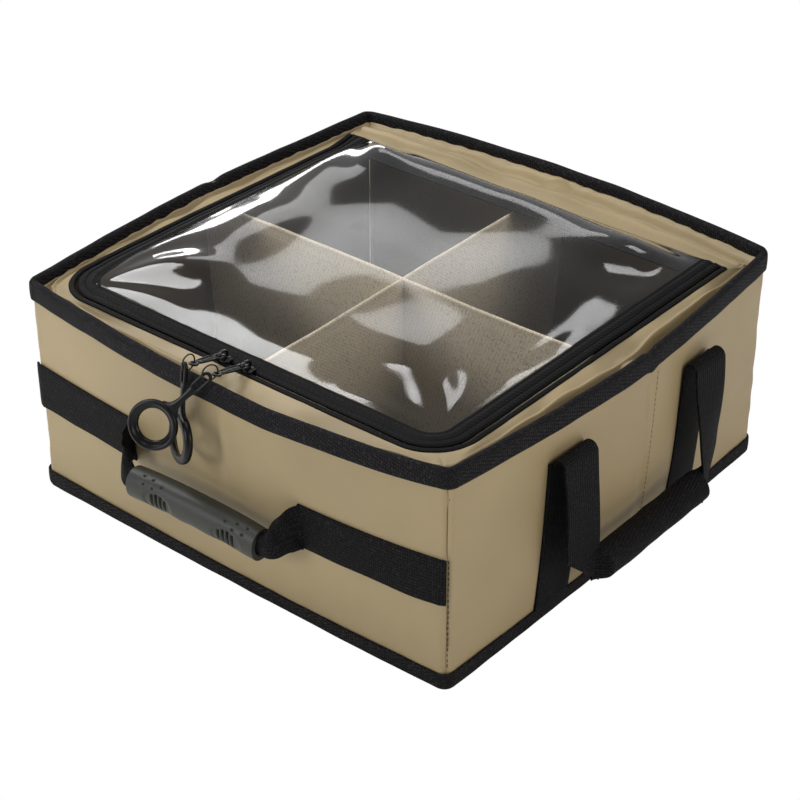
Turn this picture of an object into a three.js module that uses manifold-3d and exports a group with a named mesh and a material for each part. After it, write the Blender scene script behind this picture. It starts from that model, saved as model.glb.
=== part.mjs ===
// Soft-sided cargo organizer with a clear zipped lid, crossed dividers, webbing handles and a
// moulded front grip. Millimetres, +Z up, origin at the centre of the base's underside.
// X runs along the front face, from its left to its right, and Y runs towards the back.
import * as THREE from 'three';
import { mergeVertices } from 'three/addons/utils/BufferGeometryUtils.js';
import Module from 'manifold-3d';

const wasm = await Module();
wasm.setup();

// The bag, measured at its corners
const bagLength = 400;
const bagDepth = 392;
const bagHeight = 183;
const wallThickness = 3;
const baseThickness = 3;
const cornerRadius = 8;
const sewnGap = 0.3;

// How far each filled-out wall bows outwards at the rim
const frontBow = 20;
const rightBow = 16;
const backBow = 16;
const leftBow = 11;
const frontBowSkew = 0.15;
const seamedBowPower = 1.4;
const plainBowPower = 2;
const bowAtBase = 0.1;

// Bindings of woven tape round the rim and the base
const bindingThickness = 1.5;
const bindingShoulder = 1.2;
const rimBindingDrop = 15;
const rimBindingInnerDrop = 12;
const baseBindingHeight = 14;

// Zipper round three sides of the lid
const zipperSideInset = 18;
const zipperFrontInset = 14;
const zipperEndInset = 41;
const zipperSideX = bagLength / 2 - zipperSideInset;
const zipperFrontY = zipperFrontInset - bagDepth / 2;
const zipperEndY = bagDepth / 2 - zipperEndInset;
const zipperCornerRadius = 33;
const zipperDrop = 6;
const zipperTopZ = bagHeight - zipperDrop;
const tapeThickness = 1.2;
const slitWidth = 1.6;
const outerTapeWidth = 5;
const innerTapeWidth = 22;

// Clear window, slack and domed, sewn to the back border where it hinges
const hingeFromZipperEnd = 2;
const lidHingeY = zipperEndY + hingeFromZipperEnd;
const hingeGap = 0.7;
const filmThickness = 0.8;
const filmDome = 14;
const filmRings = [1, 0.7, 0.38, 0];

// Fabric border between the zipper and the rim, and the tape under its back edge
const borderThickness = 1.5;
const borderOuterDrop = 3;
const backCornerRadius = 4;
const backTapeReach = 24;
const backTapeTuck = 8;
const backTapeThickness = 1;

// Crossed dividers, half-lapped where they meet
const dividerThickness = 3;
const dividerDrop = 13;
const dividerTopZ = bagHeight - dividerDrop;
const dividerClearance = 0.4;

// Webbing
const webbingWidth = 38;
const webbingThickness = 1.8;
const webbingGap = 0.7;

// Front carry strap, and the moulded grip on its free middle
const frontStrapDrop = 82;
const frontStrapZ = bagHeight - frontStrapDrop;
const frontStrapCornerGap = 6;
const gripLength = 128;
const gripToStrap = 22;
const frontStrapInnerX = gripLength / 2 + gripToStrap;
const gripHeight = 30;
const gripDepth = 24;
const gripStandoff = 14;
const gripHang = 21;
const gripY = -bagDepth / 2 - frontBow - gripStandoff;
const gripZ = frontStrapZ - gripHang;
const gripEndScale = 0.86;
const gripEndPower = 4;
const gripSlotHeight = 19;
const gripSlotDepth = 4.8;
const gripLead = 3;
const foldedWebbingHeight = 17.6;
const foldedWebbingThickness = 3.4;
const loopReach = 8;

// Side carry handles
const sideStrapFromCorner = 115;
const sideStrapY = bagDepth / 2 - sideStrapFromCorner;
const sideLoopDrop = 37;
const sideLoopZ = bagHeight - sideLoopDrop;
const sideLoopRadius = 5;
const sideLoopSteps = 6;
const sideLegSteps = 4;
const sideLegCurve = 1.6;
const sideGripRadius = 12;
const sideGripStandoff = 26;
const sideGripHang = 96;
const sideGripZ = sideLoopZ - sideGripHang;

// Zipper sliders, tabs, links and ring pulls
const sliderXs = { left: -13, right: 9 };
const sliderLength = 14;
const sliderWidth = 9;
const plateThickness = 1.6;
const postWidth = 1;
const crownLength = 8.4;
const crownHeight = 6;
const crownWidth = 2;
const crownBar = 1.5;
const crownChamfer = 1;
const crownSink = 0.1;
const tabLength = 33;
const tabWidth = 8.6;
const tabThickness = 1.4;
const tabSlope = 13;
const tabHoleRadius = 2;
const tabEdge = 1.8;
const tabChamfer = [2.5, 3];
const tabBarHalf = 0.9;
const tabWindowClearance = 0.6;
const tabWindowPastCrown = 2;
const linkRadius = 6;
const linkWire = 0.5;
const pullRingRadius = 18.5;
const pullHoleRadius = 11.5;
const pullStemLength = 39;
const pullStemWidth = 8.4;
const pullThickness = 3;
const pullSlotLength = 13;
const pullSlotWidth = 5.2;
const pullTipEdge = 2;
const pullHangDepth = 4;
const pullTipChamfer = 3;
const pullSlotChamfer = 1;
const tipOutwards = 9.2;
const tipDrop = 1;

// How each ring pull hangs: its tip's offset in its link, the way it points and its flat face
const leftPullHang = {
  sideways: 0,
  direction: new THREE.Vector3(0.03, -0.18, -0.984),
  facing: new THREE.Vector3(0.43, 0.88, -0.21),
};
const rightPullHang = {
  sideways: -3,
  direction: new THREE.Vector3(-0.537, -0.477, -0.695),
  facing: new THREE.Vector3(0.54, -0.65, 0.53),
};

// Facets
const sideSteps = 10;
const arcSteps = 2;
const bendSteps = 6;
const stationsPerSide = sideSteps + 2 * arcSteps;
const stationCount = 4 * stationsPerSide;
const rimTopZ = bagHeight;
const wallTopZ = rimTopZ - bindingThickness - sewnGap;
const wallBottomZ = baseThickness + sewnGap;
const rimInset = wallThickness + sewnGap + bindingThickness;
const tapeBottomZ = zipperTopZ - tapeThickness;

const colours = {
  canvas: { color: '#a99874', roughness: 0.8, metalness: 0 },
  lining: { color: '#161517', roughness: 0.85, metalness: 0 },
  divider: { color: '#b9aa8c', roughness: 0.9, metalness: 0 },
  webbing: { color: '#26252a', roughness: 0.85, metalness: 0 },
  film: { color: '#dfe3e4', roughness: 0.08, metalness: 0 },
  grip: { color: '#5f635b', roughness: 0.5, metalness: 0 },
  pull: { color: '#222227', roughness: 0.35, metalness: 0 },
  slider: { color: '#1b1b1e', roughness: 0.3, metalness: 0.8 },
};

const organizer = new THREE.Group();

function add(name, geometry, look) {
  const mesh = new THREE.Mesh(geometry, new THREE.MeshStandardMaterial(colours[look]));
  mesh.name = name;
  organizer.add(mesh);
  return mesh;
}

// Joins the shared corners of a geometry, drops faces without area and turns the rest outwards
function closedGeometry(geometry) {
  geometry.deleteAttribute('normal');
  geometry.deleteAttribute('uv');
  const merged = mergeVertices(geometry, 1e-4);
  const position = merged.getAttribute('position');
  const kept = [];
  for (let i = 0; i < merged.getIndex().count; i += 3) {
    const corners = [0, 1, 2].map((k) => merged.getIndex().getX(i + k));
    if (new Set(corners).size === 3) kept.push(...corners);
  }
  merged.setIndex(kept);
  const index = merged.getIndex();
  const a = new THREE.Vector3();
  const b = new THREE.Vector3();
  const c = new THREE.Vector3();
  let volume = 0;
  for (let i = 0; i < index.count; i += 3) {
    a.fromBufferAttribute(position, index.getX(i));
    b.fromBufferAttribute(position, index.getX(i + 1));
    c.fromBufferAttribute(position, index.getX(i + 2));
    volume += a.dot(b.cross(c));
  }
  if (volume < 0) {
    for (let i = 0; i < index.count; i += 3) {
      const first = index.getX(i);
      index.setX(i, index.getX(i + 1));
      index.setX(i + 1, first);
    }
  }
  return merged;
}

// A box of unit size whose points are moved by a function of their place in it, each from 0 to 1
function bentBox(steps, place) {
  const geometry = new THREE.BoxGeometry(1, 1, 1, ...steps);
  const position = geometry.getAttribute('position');
  for (let i = 0; i < position.count; i += 1) {
    const point = place(position.getX(i) + 0.5, position.getY(i) + 0.5, position.getZ(i) + 0.5);
    position.setXYZ(i, point.x, point.y, point.z);
  }
  return closedGeometry(geometry);
}

// A solid through a row of sections, each a ring of points; the row closes on itself or is capped
function sectionSolid(rings, capSection, closes) {
  const sides = rings[0].length;
  const index = [];
  const spans = closes ? rings.length : rings.length - 1;
  for (let i = 0; i < spans; i += 1) {
    const here = i * sides;
    const next = ((i + 1) % rings.length) * sides;
    for (let j = 0; j < sides; j += 1) {
      const k = (j + 1) % sides;
      index.push(here + j, here + k, next + k, here + j, next + k, next + j);
    }
  }
  if (!closes) {
    const last = (rings.length - 1) * sides;
    THREE.ShapeUtils.triangulateShape(capSection, []).forEach(([p, q, r]) => {
      const runsForwards = (q - p) * (r - q) * (p - r) < 0;
      const [first, third] = runsForwards ? [r, p] : [p, r];
      index.push(first, q, third, last + third, last + q, last + first);
    });
  }
  const geometry = new THREE.BufferGeometry();
  geometry.setFromPoints(rings.flat());
  geometry.setIndex(index);
  return closedGeometry(geometry);
}

function toManifold(geometry) {
  const position = geometry.getAttribute('position');
  return new wasm.Manifold(new wasm.Mesh({
    numProp: 3,
    vertProperties: new Float32Array(position.array),
    triVerts: new Uint32Array(geometry.getIndex().array),
  }));
}

function joined(...geometries) {
  let solid = toManifold(geometries[0]);
  geometries.slice(1).forEach((geometry) => {
    solid = solid.add(toManifold(geometry));
  });
  const mesh = solid.getMesh();
  const geometry = new THREE.BufferGeometry();
  geometry.setAttribute('position', new THREE.BufferAttribute(mesh.vertProperties, 3));
  geometry.setIndex(new THREE.BufferAttribute(mesh.triVerts, 1));
  return closedGeometry(geometry);
}

// How the bow of a wall grows from the base to the rim
function bowAtHeight(z) {
  const below = 1 - z / bagHeight;
  return 1 - (1 - bowAtBase) * below * below;
}

// Outward bow of one wall; u runs from -1 to 1 along it, in X or in Y
function wallBow(side, u, z) {
  const along = side === 'front' ? u - frontBowSkew * (1 - u * u) : u;
  const size = { front: frontBow, right: rightBow, back: backBow, left: leftBow }[side];
  const power = side === 'front' || side === 'back' ? plainBowPower : seamedBowPower;
  return size * (1 - Math.abs(along) ** power) * bowAtHeight(z);
}

// A line round a box with round corners, as stations in a fixed order: front, right, back, left.
// Each side starts and ends at the middle of a corner.
function planLine(box, radii, bow) {
  const walls = [
    { side: 'front', from: [box.left, box.front], to: [box.right, box.front], out: [0, -1] },
    { side: 'right', from: [box.right, box.front], to: [box.right, box.back], out: [1, 0] },
    { side: 'back', from: [box.right, box.back], to: [box.left, box.back], out: [0, 1] },
    { side: 'left', from: [box.left, box.back], to: [box.left, box.front], out: [-1, 0] },
  ];
  const line = [];
  walls.forEach((wall, i) => {
    const from = new THREE.Vector2(...wall.from);
    const to = new THREE.Vector2(...wall.to);
    const out = new THREE.Vector2(...wall.out);
    const ahead = to.clone().sub(from).normalize();
    const startRadius = radii[i];
    const endRadius = radii[(i + 1) % 4];
    const start = from.clone().addScaledVector(ahead, startRadius);
    const end = to.clone().addScaledVector(ahead, -endRadius);
    const startCentre = start.clone().addScaledVector(out, -startRadius);
    const endCentre = end.clone().addScaledVector(out, -endRadius);
    for (let k = 0; k < arcSteps; k += 1) {
      const angle = (Math.PI / 4) * (1 - k / arcSteps);
      line.push(startCentre.clone()
        .addScaledVector(out, startRadius * Math.cos(angle))
        .addScaledVector(ahead, -startRadius * Math.sin(angle)));
    }
    for (let k = 0; k <= sideSteps; k += 1) {
      const u = (2 * k) / sideSteps - 1;
      const signed = wall.side === 'back' || wall.side === 'left' ? -u : u;
      line.push(start.clone().lerp(end, k / sideSteps)
        .addScaledVector(out, bow(wall.side, signed)));
    }
    for (let k = 1; k < arcSteps; k += 1) {
      const angle = (Math.PI / 4) * (k / arcSteps);
      line.push(endCentre.clone()
        .addScaledVector(out, endRadius * Math.cos(angle))
        .addScaledVector(ahead, endRadius * Math.sin(angle)));
    }
  });
  return line;
}

// The bag's outline at height z, set in from the outer face of the walls
function outline(z, inset) {
  const box = {
    left: -bagLength / 2 + inset,
    right: bagLength / 2 - inset,
    front: -bagDepth / 2 + inset,
    back: bagDepth / 2 - inset,
  };
  const radius = Math.max(cornerRadius - inset, 1);
  return planLine(box, [radius, radius, radius, radius], (side, u) => wallBow(side, u, z));
}

// The zipper's slit line, moved outwards by an offset; its back edge stands at backY
function zipLine(offset, backY, backRadius) {
  const box = {
    left: -zipperSideX - offset,
    right: zipperSideX + offset,
    front: zipperFrontY - offset,
    back: backY,
  };
  const front = zipperCornerRadius + offset;
  return planLine(box, [front, front, backRadius, backRadius], () => 0);
}

// Sections along stations of lines: one line for each corner of the section, at its own height
function sweptRings(lines, heights, stations) {
  return stations.map((station) => lines.map((line, i) => {
    const point = line[station % stationCount];
    return new THREE.Vector3(point.x, point.y, heights[i]);
  }));
}

function allStations() {
  return Array.from({ length: stationCount }, (_, i) => i);
}

// A ring or a length of the bag's wall line; section points are [inset, z]
function wallSweep(section, stations) {
  const lines = section.map(([inset, z]) => outline(z, inset));
  const heights = section.map(([, z]) => z);
  const cap = section.map(([inset, z]) => new THREE.Vector2(inset, z));
  return { rings: sweptRings(lines, heights, stations), cap };
}

// Point on the outer face of a wall, with a distance outwards; along is its X or its Y
function onWall(side, along, z, outwards) {
  const alongX = side === 'front' || side === 'back';
  const half = (alongX ? bagLength : bagDepth) / 2 - cornerRadius;
  const reach = (alongX ? bagDepth : bagLength) / 2 + wallBow(side, along / half, z) + outwards;
  const sign = side === 'front' || side === 'left' ? -1 : 1;
  return alongX
    ? new THREE.Vector3(along, sign * reach, z)
    : new THREE.Vector3(sign * reach, along, z);
}

// A flat strip sewn on a wall
function wallStrip(side, [start, end], [low, high], steps) {
  return bentBox([steps[0], steps[1], 1], (a, b, c) => onWall(
    side,
    THREE.MathUtils.lerp(start, end, a),
    THREE.MathUtils.lerp(low, high, b),
    webbingGap + c * webbingThickness,
  ));
}

function addBase() {
  const shape = new THREE.Shape(outline(0, 0));
  const geometry = new THREE.ExtrudeGeometry(shape, { depth: baseThickness, bevelEnabled: false });
  add('base_panel', closedGeometry(geometry), 'lining');
}

function addWalls() {
  const strapHalf = webbingWidth / 2;
  const rows = [
    wallBottomZ,
    baseBindingHeight,
    (baseBindingHeight + frontStrapZ - strapHalf) / 2,
    frontStrapZ - strapHalf,
    frontStrapZ + strapHalf,
    (frontStrapZ + strapHalf + rimTopZ - rimBindingDrop) / 2,
    rimTopZ - rimBindingDrop,
    wallTopZ,
  ];
  const section = rows.map((z) => [0, z]).concat(rows.toReversed().map((z) => [wallThickness, z]));
  ['front', 'right', 'back', 'left'].forEach((side, i) => {
    const first = i * stationsPerSide;
    const stations = Array.from({ length: stationsPerSide + 1 }, (_, k) => first + k);
    const { rings, cap } = wallSweep(section, stations);
    const ends = [[rings[0], rings[1]], [rings.at(-1), rings.at(-2)]];
    ends.forEach(([ring, inner]) => {
      const corner = ring[0].clone().setZ(0);
      const across = ring.at(-1).clone().setZ(0).sub(corner).normalize();
      const along = new THREE.Vector3(-across.y, across.x, 0);
      if (along.dot(inner[0].clone().sub(ring[0])) < 0) along.negate();
      ring.forEach((point) => point.addScaledVector(along, sewnGap / 2));
    });
    add(`${side}_panel`, sectionSolid(rings, cap, false), 'canvas');
  });
}

function addBindings() {
  const outer = -sewnGap - bindingThickness;
  const rim = [
    [outer, rimTopZ - rimBindingDrop],
    [outer, rimTopZ - bindingShoulder],
    [outer + bindingShoulder, rimTopZ],
    [rimInset - bindingShoulder, rimTopZ],
    [rimInset, rimTopZ - bindingShoulder],
    [rimInset, rimTopZ - rimBindingInnerDrop],
    [rimInset - bindingThickness, rimTopZ - rimBindingInnerDrop],
    [rimInset - bindingThickness, wallTopZ + sewnGap],
    [-sewnGap, wallTopZ + sewnGap],
    [-sewnGap, rimTopZ - rimBindingDrop],
  ];
  const rimSweep = wallSweep(rim, allStations());
  add('rim_binding', sectionSolid(rimSweep.rings, rimSweep.cap, true), 'webbing');

  const base = [
    [outer, 0],
    [outer, baseBindingHeight],
    [-sewnGap, baseBindingHeight],
    [-sewnGap, wallBottomZ],
    [-sewnGap, 0],
  ];
  const baseSweep = wallSweep(base, allStations());
  add('base_binding', sectionSolid(baseSweep.rings, baseSweep.cap, true), 'webbing');
}

function addBorder() {
  const outerZ = bagHeight - borderOuterDrop;
  const backY = lidHingeY + hingeGap;
  const outerLine = outline(outerZ, rimInset + sewnGap);
  const innerLine = zipLine(slitWidth / 2 + outerTapeWidth + sewnGap, backY, backCornerRadius);
  const rings = sweptRings(
    [outerLine, outerLine, innerLine, innerLine],
    [outerZ - borderThickness, outerZ, zipperTopZ, zipperTopZ - borderThickness],
    allStations(),
  );
  add('lid_border', sectionSolid(rings, [], true), 'canvas');

  const top = zipperTopZ - borderThickness - sewnGap;
  const halfX = zipperSideX - slitWidth / 2 - innerTapeWidth - sewnGap;
  const tape = new THREE.BoxGeometry(2 * halfX, backTapeReach + backTapeTuck, backTapeThickness);
  const tapeY = lidHingeY + (backTapeTuck - backTapeReach) / 2;
  tape.translate(0, tapeY, top - backTapeThickness / 2);
  add('back_edge_tape', closedGeometry(tape), 'webbing');
}

// The zipper runs from the back left, round the front, to the back right
function zipperStations() {
  const first = 3 * stationsPerSide + arcSteps;
  const last = stationCount + 2 * stationsPerSide - arcSteps;
  return Array.from({ length: last - first + 1 }, (_, k) => first + k);
}

function addZipperTapes() {
  const outerEdge = slitWidth / 2 + outerTapeWidth;
  const innerEdge = slitWidth / 2 + innerTapeWidth;
  const tapes = [
    ['zipper_outer_tape', outerEdge, slitWidth / 2],
    ['zipper_inner_tape', -slitWidth / 2, -innerEdge],
  ];
  const heights = [tapeBottomZ, zipperTopZ, zipperTopZ, tapeBottomZ];
  tapes.forEach(([name, outer, inner]) => {
    const outerLine = zipLine(outer, zipperEndY, 1);
    const innerLine = zipLine(inner, zipperEndY, 1);
    const rings = sweptRings([outerLine, outerLine, innerLine, innerLine], heights,
      zipperStations());
    const cap = [[1, 0], [1, 1], [0, 1], [0, 0]].map((corner) => new THREE.Vector2(...corner));
    add(name, sectionSolid(rings, cap, false), 'webbing');
  });
}

// The film is a fan of rings from its edge to its middle, each ring higher than the last
function addFilm() {
  const edgeInset = slitWidth / 2 + innerTapeWidth + sewnGap;
  const edge = zipLine(-edgeInset, lidHingeY - sewnGap, 1);
  const centre = new THREE.Vector2(0, (zipperFrontY + edgeInset + lidHingeY) / 2);
  const rings = filmRings;
  const layers = [0, -filmThickness];
  const points = [];
  layers.forEach((drop) => rings.forEach((scale) => edge.forEach((point) => {
    const plan = point.clone().sub(centre).multiplyScalar(scale).add(centre);
    const height = zipperTopZ + filmDome * (1 - scale * scale) + drop;
    points.push(new THREE.Vector3(plan.x, plan.y, height));
  })));
  const loops = rings.map((_, i) => i).concat(rings.map((_, i) => 2 * rings.length - 1 - i));
  const rows = edge.map((_, k) => loops.map((loop) => points[loop * edge.length + k]));
  add('window_film', sectionSolid(rows, [], true), 'film');
}

// A divider stands between two opposite walls and has a slot for its neighbour
function dividerShape(sides, slotFromTop) {
  const rows = [0, 1, 2, 3].map((k) => (
    THREE.MathUtils.lerp(baseThickness + dividerClearance, dividerTopZ, k / 3)
  ));
  const reach = (side, z) => {
    const point = onWall(side, 0, z, -wallThickness - dividerClearance);
    return sides[0] === 'front' ? point.y : point.x;
  };
  const half = dividerThickness / 2 + dividerClearance;
  const middleZ = (rows[0] + dividerTopZ) / 2;
  const left = rows.map((z) => [reach(sides[0], z), z]);
  const right = rows.toReversed().map((z) => [reach(sides[1], z), z]);
  const outlinePoints = [...left];
  if (slotFromTop) {
    outlinePoints.push([-half, dividerTopZ], [-half, middleZ - dividerClearance]);
    outlinePoints.push([half, middleZ - dividerClearance], [half, dividerTopZ]);
  }
  outlinePoints.push(...right);
  if (!slotFromTop) {
    outlinePoints.push([half, rows[0]], [half, middleZ + dividerClearance]);
    outlinePoints.push([-half, middleZ + dividerClearance], [-half, rows[0]]);
  }
  return new THREE.Shape(outlinePoints.map((point) => new THREE.Vector2(...point)));
}

function addDividers() {
  const settings = { depth: dividerThickness, bevelEnabled: false };
  const cross = new THREE.ExtrudeGeometry(dividerShape(['left', 'right'], true), settings);
  cross.translate(0, 0, -dividerThickness / 2);
  cross.rotateX(Math.PI / 2);
  add('divider_cross', closedGeometry(cross), 'divider');

  const long = new THREE.ExtrudeGeometry(dividerShape(['front', 'back'], false), settings);
  long.translate(0, 0, -dividerThickness / 2);
  long.rotateX(Math.PI / 2);
  long.rotateZ(Math.PI / 2);
  add('divider_long', closedGeometry(long), 'divider');
}

function addFrontStraps() {
  const z = [frontStrapZ - webbingWidth / 2, frontStrapZ + webbingWidth / 2];
  const cornerX = bagLength / 2 - cornerRadius - frontStrapCornerGap;
  add('front_strap_left', wallStrip('front', [-cornerX, -frontStrapInnerX], z, [4, 2]), 'webbing');
  add('front_strap_right', wallStrip('front', [frontStrapInnerX, cornerX], z, [4, 2]), 'webbing');
}

// The strap's free middle leaves the wall at both ends, turns outwards and folds into the grip
function addFrontHandle() {
  const startX = frontStrapInnerX - sewnGap - webbingThickness;
  const topZ = frontStrapZ + webbingWidth / 2;
  const route = (sign) => {
    const start = onWall('front', sign * startX, topZ, webbingGap + webbingThickness / 2);
    start.setZ(frontStrapZ);
    const outwards = (x, reach, drop) => (
      new THREE.Vector3(sign * x, start.y - reach, frontStrapZ - drop)
    );
    const grip = (x) => new THREE.Vector3(sign * x, gripY, gripZ);
    const bend = new THREE.CatmullRomCurve3([
      start,
      outwards(startX + loopReach / 4, loopReach, loopReach / 2),
      outwards(startX - loopReach / 4, 2 * loopReach, 1.5 * loopReach),
      grip(gripLength / 2 + gripLead),
    ]);
    return [...bend.getSpacedPoints(bendSteps), grip(gripLength / 2), grip(gripLength / 4)];
  };
  const points = [...route(-1), ...route(1).toReversed()];
  const rings = points.map((point, i) => {
    const before = points[Math.max(i - 1, 0)];
    const after = points[Math.min(i + 1, points.length - 1)];
    const ahead = after.clone().sub(before).setZ(0).normalize();
    const outwards = new THREE.Vector3(ahead.y, -ahead.x, 0);
    const end = Math.min(i, points.length - 1 - i);
    const folded = THREE.MathUtils.smoothstep(end, 0, bendSteps);
    const height = THREE.MathUtils.lerp(webbingWidth, foldedWebbingHeight, folded) / 2;
    const thick = THREE.MathUtils.lerp(webbingThickness, foldedWebbingThickness, folded) / 2;
    return [[-1, -1], [1, -1], [1, 1], [-1, 1]].map(([out, up]) => (
      point.clone().addScaledVector(outwards, out * thick).add(new THREE.Vector3(0, 0, up * height))
    ));
  });
  const cap = [[-1, -1], [1, -1], [1, 1], [-1, 1]].map((corner) => new THREE.Vector2(...corner));
  add('front_handle_webbing', sectionSolid(rings, cap, false), 'webbing');
}

// Moulded sleeve with rounded section and a slot right through it for the folded webbing
function addGrip() {
  const shape = new THREE.Shape();
  shape.absellipse(0, 0, gripHeight / 2, gripDepth / 2, 0, 2 * Math.PI, false, 0);
  const slot = new THREE.Path();
  slot.moveTo(-gripSlotHeight / 2, -gripSlotDepth / 2);
  slot.lineTo(-gripSlotHeight / 2, gripSlotDepth / 2);
  slot.lineTo(gripSlotHeight / 2, gripSlotDepth / 2);
  slot.lineTo(gripSlotHeight / 2, -gripSlotDepth / 2);
  slot.closePath();
  shape.holes.push(slot);
  const geometry = new THREE.ExtrudeGeometry(shape, {
    depth: gripLength, steps: 6, bevelEnabled: false, curveSegments: 16,
  });
  const position = geometry.getAttribute('position');
  for (let i = 0; i < position.count; i += 1) {
    const along = Math.abs(position.getZ(i) / gripLength - 0.5) * 2;
    const isOuter = Math.abs(position.getY(i)) > gripSlotDepth / 2 + sewnGap
      || Math.abs(position.getX(i)) > gripSlotHeight / 2 + sewnGap;
    const scale = isOuter ? THREE.MathUtils.lerp(1, gripEndScale, along ** gripEndPower) : 1;
    const height = Math.max(Math.abs(position.getX(i)) * scale,
      isOuter ? 0 : gripSlotHeight / 2);
    position.setX(i, Math.sign(position.getX(i)) * height);
    position.setY(i, position.getY(i) * scale);
  }
  geometry.translate(0, 0, -gripLength / 2);
  geometry.rotateY(Math.PI / 2);
  geometry.translate(0, gripY, gripZ);
  add('front_grip', closedGeometry(geometry), 'grip');
}

// Side straps, sewn up the wall to just under the loop that each handle swings from
function addSideStraps(side) {
  const looseEnd = Math.sqrt((sideLoopRadius + webbingThickness / 2 + sewnGap) ** 2
    - (sideLoopRadius - webbingThickness / 2) ** 2);
  const z = [baseBindingHeight + sewnGap, sideLoopZ - looseEnd];
  [['front', -sideStrapY], ['back', sideStrapY]].forEach(([place, y]) => {
    const edges = [y - webbingWidth / 2, y + webbingWidth / 2];
    add(`${side}_strap_${place}`, wallStrip(side, edges, z, [2, 3]), 'webbing');
  });
}

// Webbing that turns over at the top of each strap and hangs to a rolled grip
function addSideHandle(side) {
  const sign = side === 'left' ? -1 : 1;
  const wallX = Math.max(...[-1, 1].map((edge) => (
    Math.abs(onWall(side, sideStrapY + (edge * webbingWidth) / 2, sideLoopZ, 0).x)
  )));
  const axisX = wallX + webbingGap + webbingThickness / 2 + sideLoopRadius;
  const gripX = wallX + sideGripStandoff;
  const route = [];
  for (let k = 0; k <= sideLoopSteps; k += 1) {
    const angle = Math.PI * (1 - k / sideLoopSteps);
    route.push([axisX + sideLoopRadius * Math.cos(angle),
      sideLoopZ + sideLoopRadius * Math.sin(angle)]);
  }
  for (let k = 1; k <= sideLegSteps; k += 1) {
    const fall = k / sideLegSteps;
    route.push([THREE.MathUtils.lerp(axisX + sideLoopRadius, gripX, fall ** sideLegCurve),
      THREE.MathUtils.lerp(sideLoopZ, sideGripZ, fall)]);
  }
  const leg = (y) => {
    const rings = route.map(([x, z], i) => {
      const before = route[Math.max(i - 1, 0)];
      const after = route[Math.min(i + 1, route.length - 1)];
      const ahead = new THREE.Vector2(after[0] - before[0], after[1] - before[1]).normalize();
      if (i === 0) ahead.set(0, 1);
      return [[-1, -1], [1, -1], [1, 1], [-1, 1]].map(([out, across]) => new THREE.Vector3(
        sign * (x - (out * ahead.y * webbingThickness) / 2),
        y + (across * webbingWidth) / 2,
        z + (out * ahead.x * webbingThickness) / 2,
      ));
    });
    const cap = [[-1, -1], [1, -1], [1, 1], [-1, 1]].map((corner) => new THREE.Vector2(...corner));
    return sectionSolid(rings, cap, false);
  };
  const roll = new THREE.CylinderGeometry(sideGripRadius, sideGripRadius,
    2 * sideStrapY + webbingWidth / 2, 12, 1);
  roll.translate(sign * (gripX + webbingThickness), 0, sideGripZ);
  add(`${side}_handle`, joined(closedGeometry(roll), leg(-sideStrapY), leg(sideStrapY)), 'webbing');
}

// Slider: two plates joined by a post through the slit, with an arched crown on top
function sliderGeometry(x) {
  const plate = (z, width) => {
    const box = new THREE.BoxGeometry(sliderLength, width, plateThickness);
    box.translate(x, zipperFrontY, z);
    return closedGeometry(box);
  };
  const topZ = zipperTopZ + sewnGap + plateThickness / 2;
  const bottomZ = tapeBottomZ - sewnGap - plateThickness / 2;
  const post = new THREE.BoxGeometry(sliderLength / 3, postWidth, topZ - bottomZ);
  post.translate(x, zipperFrontY, (topZ + bottomZ) / 2);
  const crownShape = new THREE.Shape();
  const half = crownLength / 2;
  crownShape.moveTo(-half, 0);
  crownShape.lineTo(-half, crownHeight - crownChamfer);
  crownShape.lineTo(crownChamfer - half, crownHeight);
  crownShape.lineTo(half - crownChamfer, crownHeight);
  crownShape.lineTo(half, crownHeight - crownChamfer);
  crownShape.lineTo(half, 0);
  crownShape.lineTo(half - crownBar, 0);
  crownShape.lineTo(half - crownBar, crownHeight - crownBar);
  crownShape.lineTo(crownBar - half, crownHeight - crownBar);
  crownShape.lineTo(crownBar - half, 0);
  const crown = new THREE.ExtrudeGeometry(crownShape, { depth: crownWidth, bevelEnabled: false });
  crown.translate(0, 0, -crownWidth / 2);
  crown.rotateX(Math.PI / 2);
  crown.rotateZ(Math.PI / 2);
  crown.translate(x, zipperFrontY, topZ + plateThickness / 2 - crownSink);
  return joined(plate(topZ, sliderWidth), plate(bottomZ, sliderWidth - 2),
    closedGeometry(post), closedGeometry(crown));
}

const crownPivot = {
  y: zipperFrontY,
  z: zipperTopZ + sewnGap + plateThickness + (crownHeight - crownBar) / 2,
};

// Flat tab; its end bar lies under the crown, and its outer end has a hole for the link
function tabGeometry(x) {
  const shape = new THREE.Shape();
  const half = tabWidth / 2;
  const [chamferX, chamferY] = tabChamfer;
  shape.moveTo(-half, -tabBarHalf);
  shape.lineTo(half, -tabBarHalf);
  shape.lineTo(half, tabLength - chamferY);
  shape.lineTo(half - chamferX, tabLength);
  shape.lineTo(chamferX - half, tabLength);
  shape.lineTo(-half, tabLength - chamferY);
  const window = new THREE.Path();
  const side = crownWidth / 2 + tabWindowClearance;
  const windowEnd = crownLength / 2 + tabWindowPastCrown;
  window.moveTo(-side, tabBarHalf);
  window.lineTo(-side, windowEnd);
  window.lineTo(side, windowEnd);
  window.lineTo(side, tabBarHalf);
  const hole = new THREE.Path();
  hole.absarc(0, tabLength - tabEdge - tabHoleRadius, tabHoleRadius, 0, 2 * Math.PI, true);
  shape.holes.push(window, hole);
  const geometry = new THREE.ExtrudeGeometry(shape, {
    depth: tabThickness, bevelEnabled: false, curveSegments: 5,
  });
  geometry.translate(0, 0, -tabThickness / 2);
  geometry.rotateZ(Math.PI);
  geometry.rotateX(-THREE.MathUtils.degToRad(tabSlope));
  geometry.translate(x, crownPivot.y, crownPivot.z);
  return closedGeometry(geometry);
}

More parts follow.
